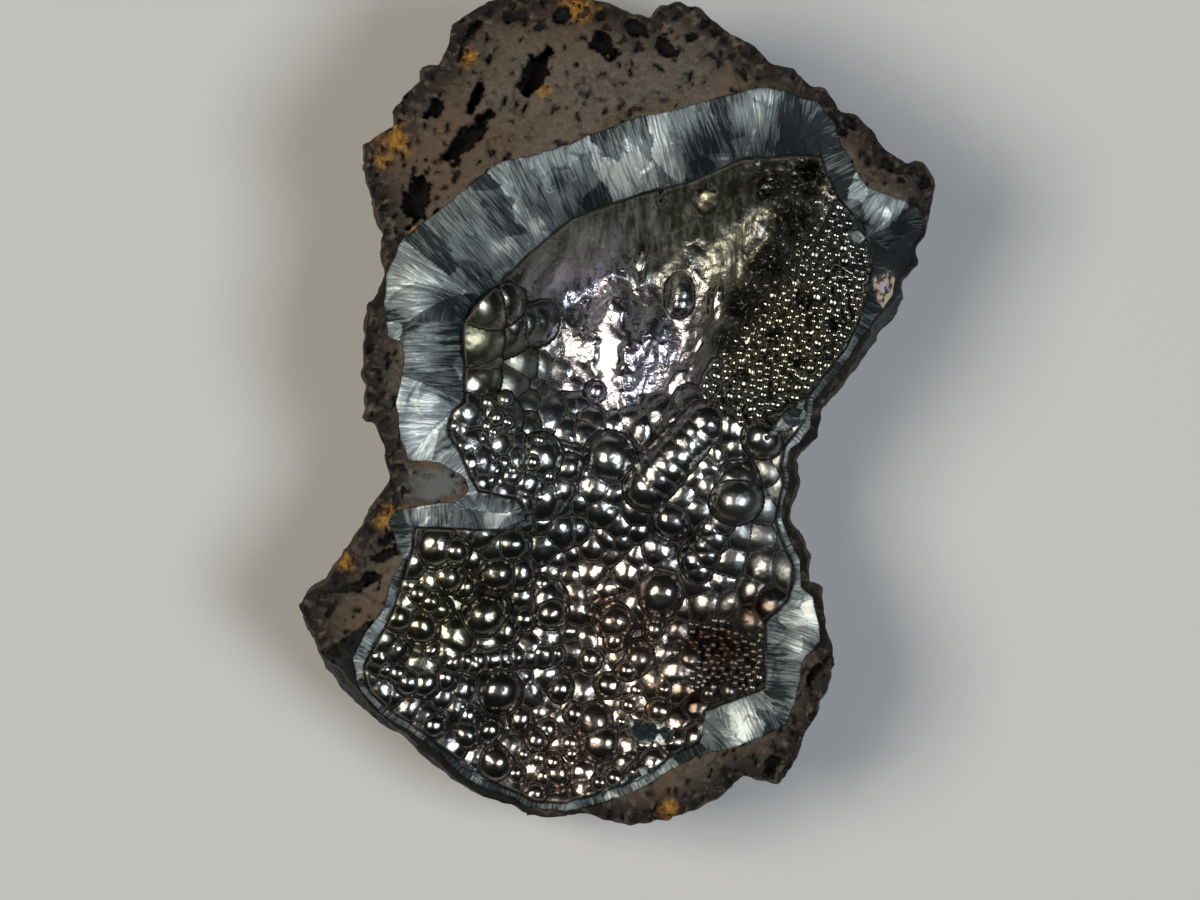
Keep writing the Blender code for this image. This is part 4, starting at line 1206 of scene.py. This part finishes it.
def skin_colour(tree, drips, painted_crease_shade):
    """Steel grey with its tints, streaked on the hollow's wall, with painted shade where it is marked as
    shade and black painted shade in the creases.
    """
    skin = blend_colours(tree, ramp(tree, waves(tree, 260.0), 0.35, 0.65), DARK_STEEL, LIGHT_STEEL)
    for mark, tint in TINTS.items():
        skin = blend_colours(tree, mark_value(tree, mark), skin, tint)
    stain = blend_colours(tree, ramp(tree, drips, 0.38, 0.62), DARK_STREAK, PALE_STREAK)
    streaked = math_of(tree, "MULTIPLY", mark_value(tree, "streaked"), 0.8)
    skin = blend_colours(tree, streaked, skin, stain)
    # Painted shade where the skin is marked as shade, with glints in it
    gloom = blend_colours(tree, ramp(tree, waves(tree, 1500.0), 0.58, 0.66), GLOOM, GLINT)
    skin = blend_colours(tree, ramp(tree, mark_value(tree, "shade"), 0.3, 0.8), skin, gloom)
    # Painted shade: black in the creases
    return blend_colours(tree, painted_crease_shade, skin, PAINTED_CREASE_SHADE)


def fibre_colour(tree, streaks):
    """Blue-grey fibres with silvery ones between them, and the pearly patch."""
    fibres = blend_colours(tree, ramp(tree, streaks, 0.28, 0.62), DARK_FIBRE, BLUE_FIBRE)
    fibres = blend_colours(tree, ramp(tree, streaks, 0.60, 0.74), fibres, SILVER_FIBRE)
    pearl = blend_colours(tree, ramp(tree, waves(tree, 500.0), 0.42, 0.58), LILAC, GOLD)
    pearl = blend_colours(tree, ramp(tree, waves(tree, 700.0), 0.42, 0.52), DARK_PEARL, pearl)
    sheen = math_of(tree, "MULTIPLY_ADD", waves(tree, 500.0), 1.4, -0.7)
    sheen = ramp(tree, math_of(tree, "ADD", mark_value(tree, "pearl"), sheen), 0.4, 0.55)
    return blend_colours(tree, sheen, fibres, pearl)


def crust_roughness(tree, fibre, painted_crease_shade, streaks):
    """Glossy skin and silky fibres, duller in the creases and where the skin is marked as dull."""
    smooth = ramp(tree, waves(tree, 700.0), 0.35, 0.7, 0.19, 0.25)
    silky = ramp(tree, streaks, 0.3, 0.7, 0.55, 0.38)
    mixed = math_of(tree, "MULTIPLY", fibre, math_of(tree, "SUBTRACT", silky, smooth))
    dull = math_of(tree, "MULTIPLY_ADD", painted_crease_shade, 0.12, math_of(tree, "ADD", mixed, smooth))
    return math_of(tree, "MULTIPLY_ADD", mark_value(tree, "dull"), 0.20, dull)


def crust_bumps(tree, fibre, streaks, drips):
    """Fine relief: fibres, crinkles on the hammered places, and ribs where the wall is streaked."""
    fine = math_of(tree, "MULTIPLY", streaks, math_of(tree, "MULTIPLY", fibre, 3.0))
    crinkle = math_of(tree, "MULTIPLY", waves(tree, 900.0, detail=3.0), mark_value(tree, "hammered"))
    grain = math_of(tree, "MULTIPLY", waves(tree, 1500.0), 0.4)
    rough = math_of(tree, "MULTIPLY_ADD", crinkle, 4.5, grain)
    ribs = math_of(tree, "MULTIPLY", math_of(tree, "MULTIPLY", drips, mark_value(tree, "streaked")), 5.0)
    return math_of(tree, "ADD", math_of(tree, "ADD", fine, rough), ribs)


def crust_material():
    """Metallic goethite: its smooth skin, and its silky fibres where it is broken."""
    material, tree, shader = new_material("goethite_skin")
    fibre = mark_value(tree, "fibre")
    # Painted shade in the creases: black and not metallic
    painted_crease_shade = ramp(tree, mark_value(tree, "painted_crease_shade"), 0.0, 0.45)
    streaks = fibre_streaks(tree)
    drips = wall_streaks(tree)
    skin = skin_colour(tree, drips, painted_crease_shade)
    colour = blend_colours(tree, fibre, skin, fibre_colour(tree, streaks))
    tree.links.new(colour, shader.inputs["Base Color"])
    tree.links.new(crust_roughness(tree, fibre, painted_crease_shade, streaks), shader.inputs["Roughness"])
    shader.inputs["Specular IOR Level"].default_value = 0.1
    metal = math_of(tree, "MULTIPLY_ADD", fibre, -0.5, 1.0)
    tree.links.new(math_of(tree, "MULTIPLY_ADD", painted_crease_shade, -1.0, metal), shader.inputs["Metallic"])
    bumped(tree, shader, crust_bumps(tree, fibre, streaks, drips), 0.00006)
    return material


def softbox(name, place, aim, size, power, colour):
    """A square area light that faces a point."""
    lamp = bpy.data.lights.new(name, "AREA")
    lamp.size = size
    lamp.energy = power
    lamp.color = colour
    light = bpy.data.objects.new(name, lamp)
    light.location = place
    light.rotation_euler = (Vector(aim) - Vector(place)).to_track_quat("-Z", "Y").to_euler()
    bpy.context.scene.collection.objects.link(light)


def make_studio():
    """A pale floor, a dim surround, and a softbox on either side of the camera."""
    mesh = bpy.data.meshes.new("floor")
    half = 2.0
    corners = [(-half, -half, 0), (half, -half, 0), (half, half, 0), (-half, half, 0)]
    mesh.from_pydata(corners, [], [(0, 1, 2, 3)])
    material, _, shader = new_material("pale_floor")
    shader.inputs["Base Color"].default_value = (*FLOOR_GREY, 1.0)
    shader.inputs["Roughness"].default_value = 0.9
    mesh.materials.append(material)
    floor = bpy.data.objects.new("floor", mesh)
    bpy.context.scene.collection.objects.link(floor)
    world = bpy.data.worlds.new("studio")
    world.use_nodes = True
    world.node_tree.nodes["Background"].inputs["Color"].default_value = (*SURROUND, 1.0)
    bpy.context.scene.world = world
    middle = (0.0, 0.0, 0.03)
    softbox("left_softbox", (-0.62, 0.05, 1.14), middle, 0.56, 13.0, WARM_LIGHT)
    softbox("right_softbox", (0.55, -0.15, 1.17), middle, 0.44, 11.0, COOL_LIGHT)


def make_camera():
    """Square on to the front, as the photograph is taken, so straight down on the specimen."""
    x, y = plan([FRAME_CENTRE])[0] * 0.001
    lens = bpy.data.cameras.new("camera")
    lens.sensor_width = 36.0
    lens.lens = lens.sensor_width * CAMERA_HEIGHT / FRAME_WIDTH
    camera = bpy.data.objects.new("camera", lens)
    camera.location = (x, y, RIM_HEIGHT + CAMERA_HEIGHT)
    bpy.context.scene.collection.objects.link(camera)
    bpy.context.scene.camera = camera


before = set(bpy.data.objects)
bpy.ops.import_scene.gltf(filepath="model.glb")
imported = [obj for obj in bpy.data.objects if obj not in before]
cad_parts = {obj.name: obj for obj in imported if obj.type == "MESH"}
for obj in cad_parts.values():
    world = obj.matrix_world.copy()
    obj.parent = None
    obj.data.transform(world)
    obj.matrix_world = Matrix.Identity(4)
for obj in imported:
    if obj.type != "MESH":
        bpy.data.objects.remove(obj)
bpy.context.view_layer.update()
noise.seed_set(FACET_SEED)
make_camera()
make_studio()
crust = crust_material()
make_skin(crust)
make_band(crust)
make_matrix(rock_material())
bpy.context.scene.view_settings.view_transform = "Standard"
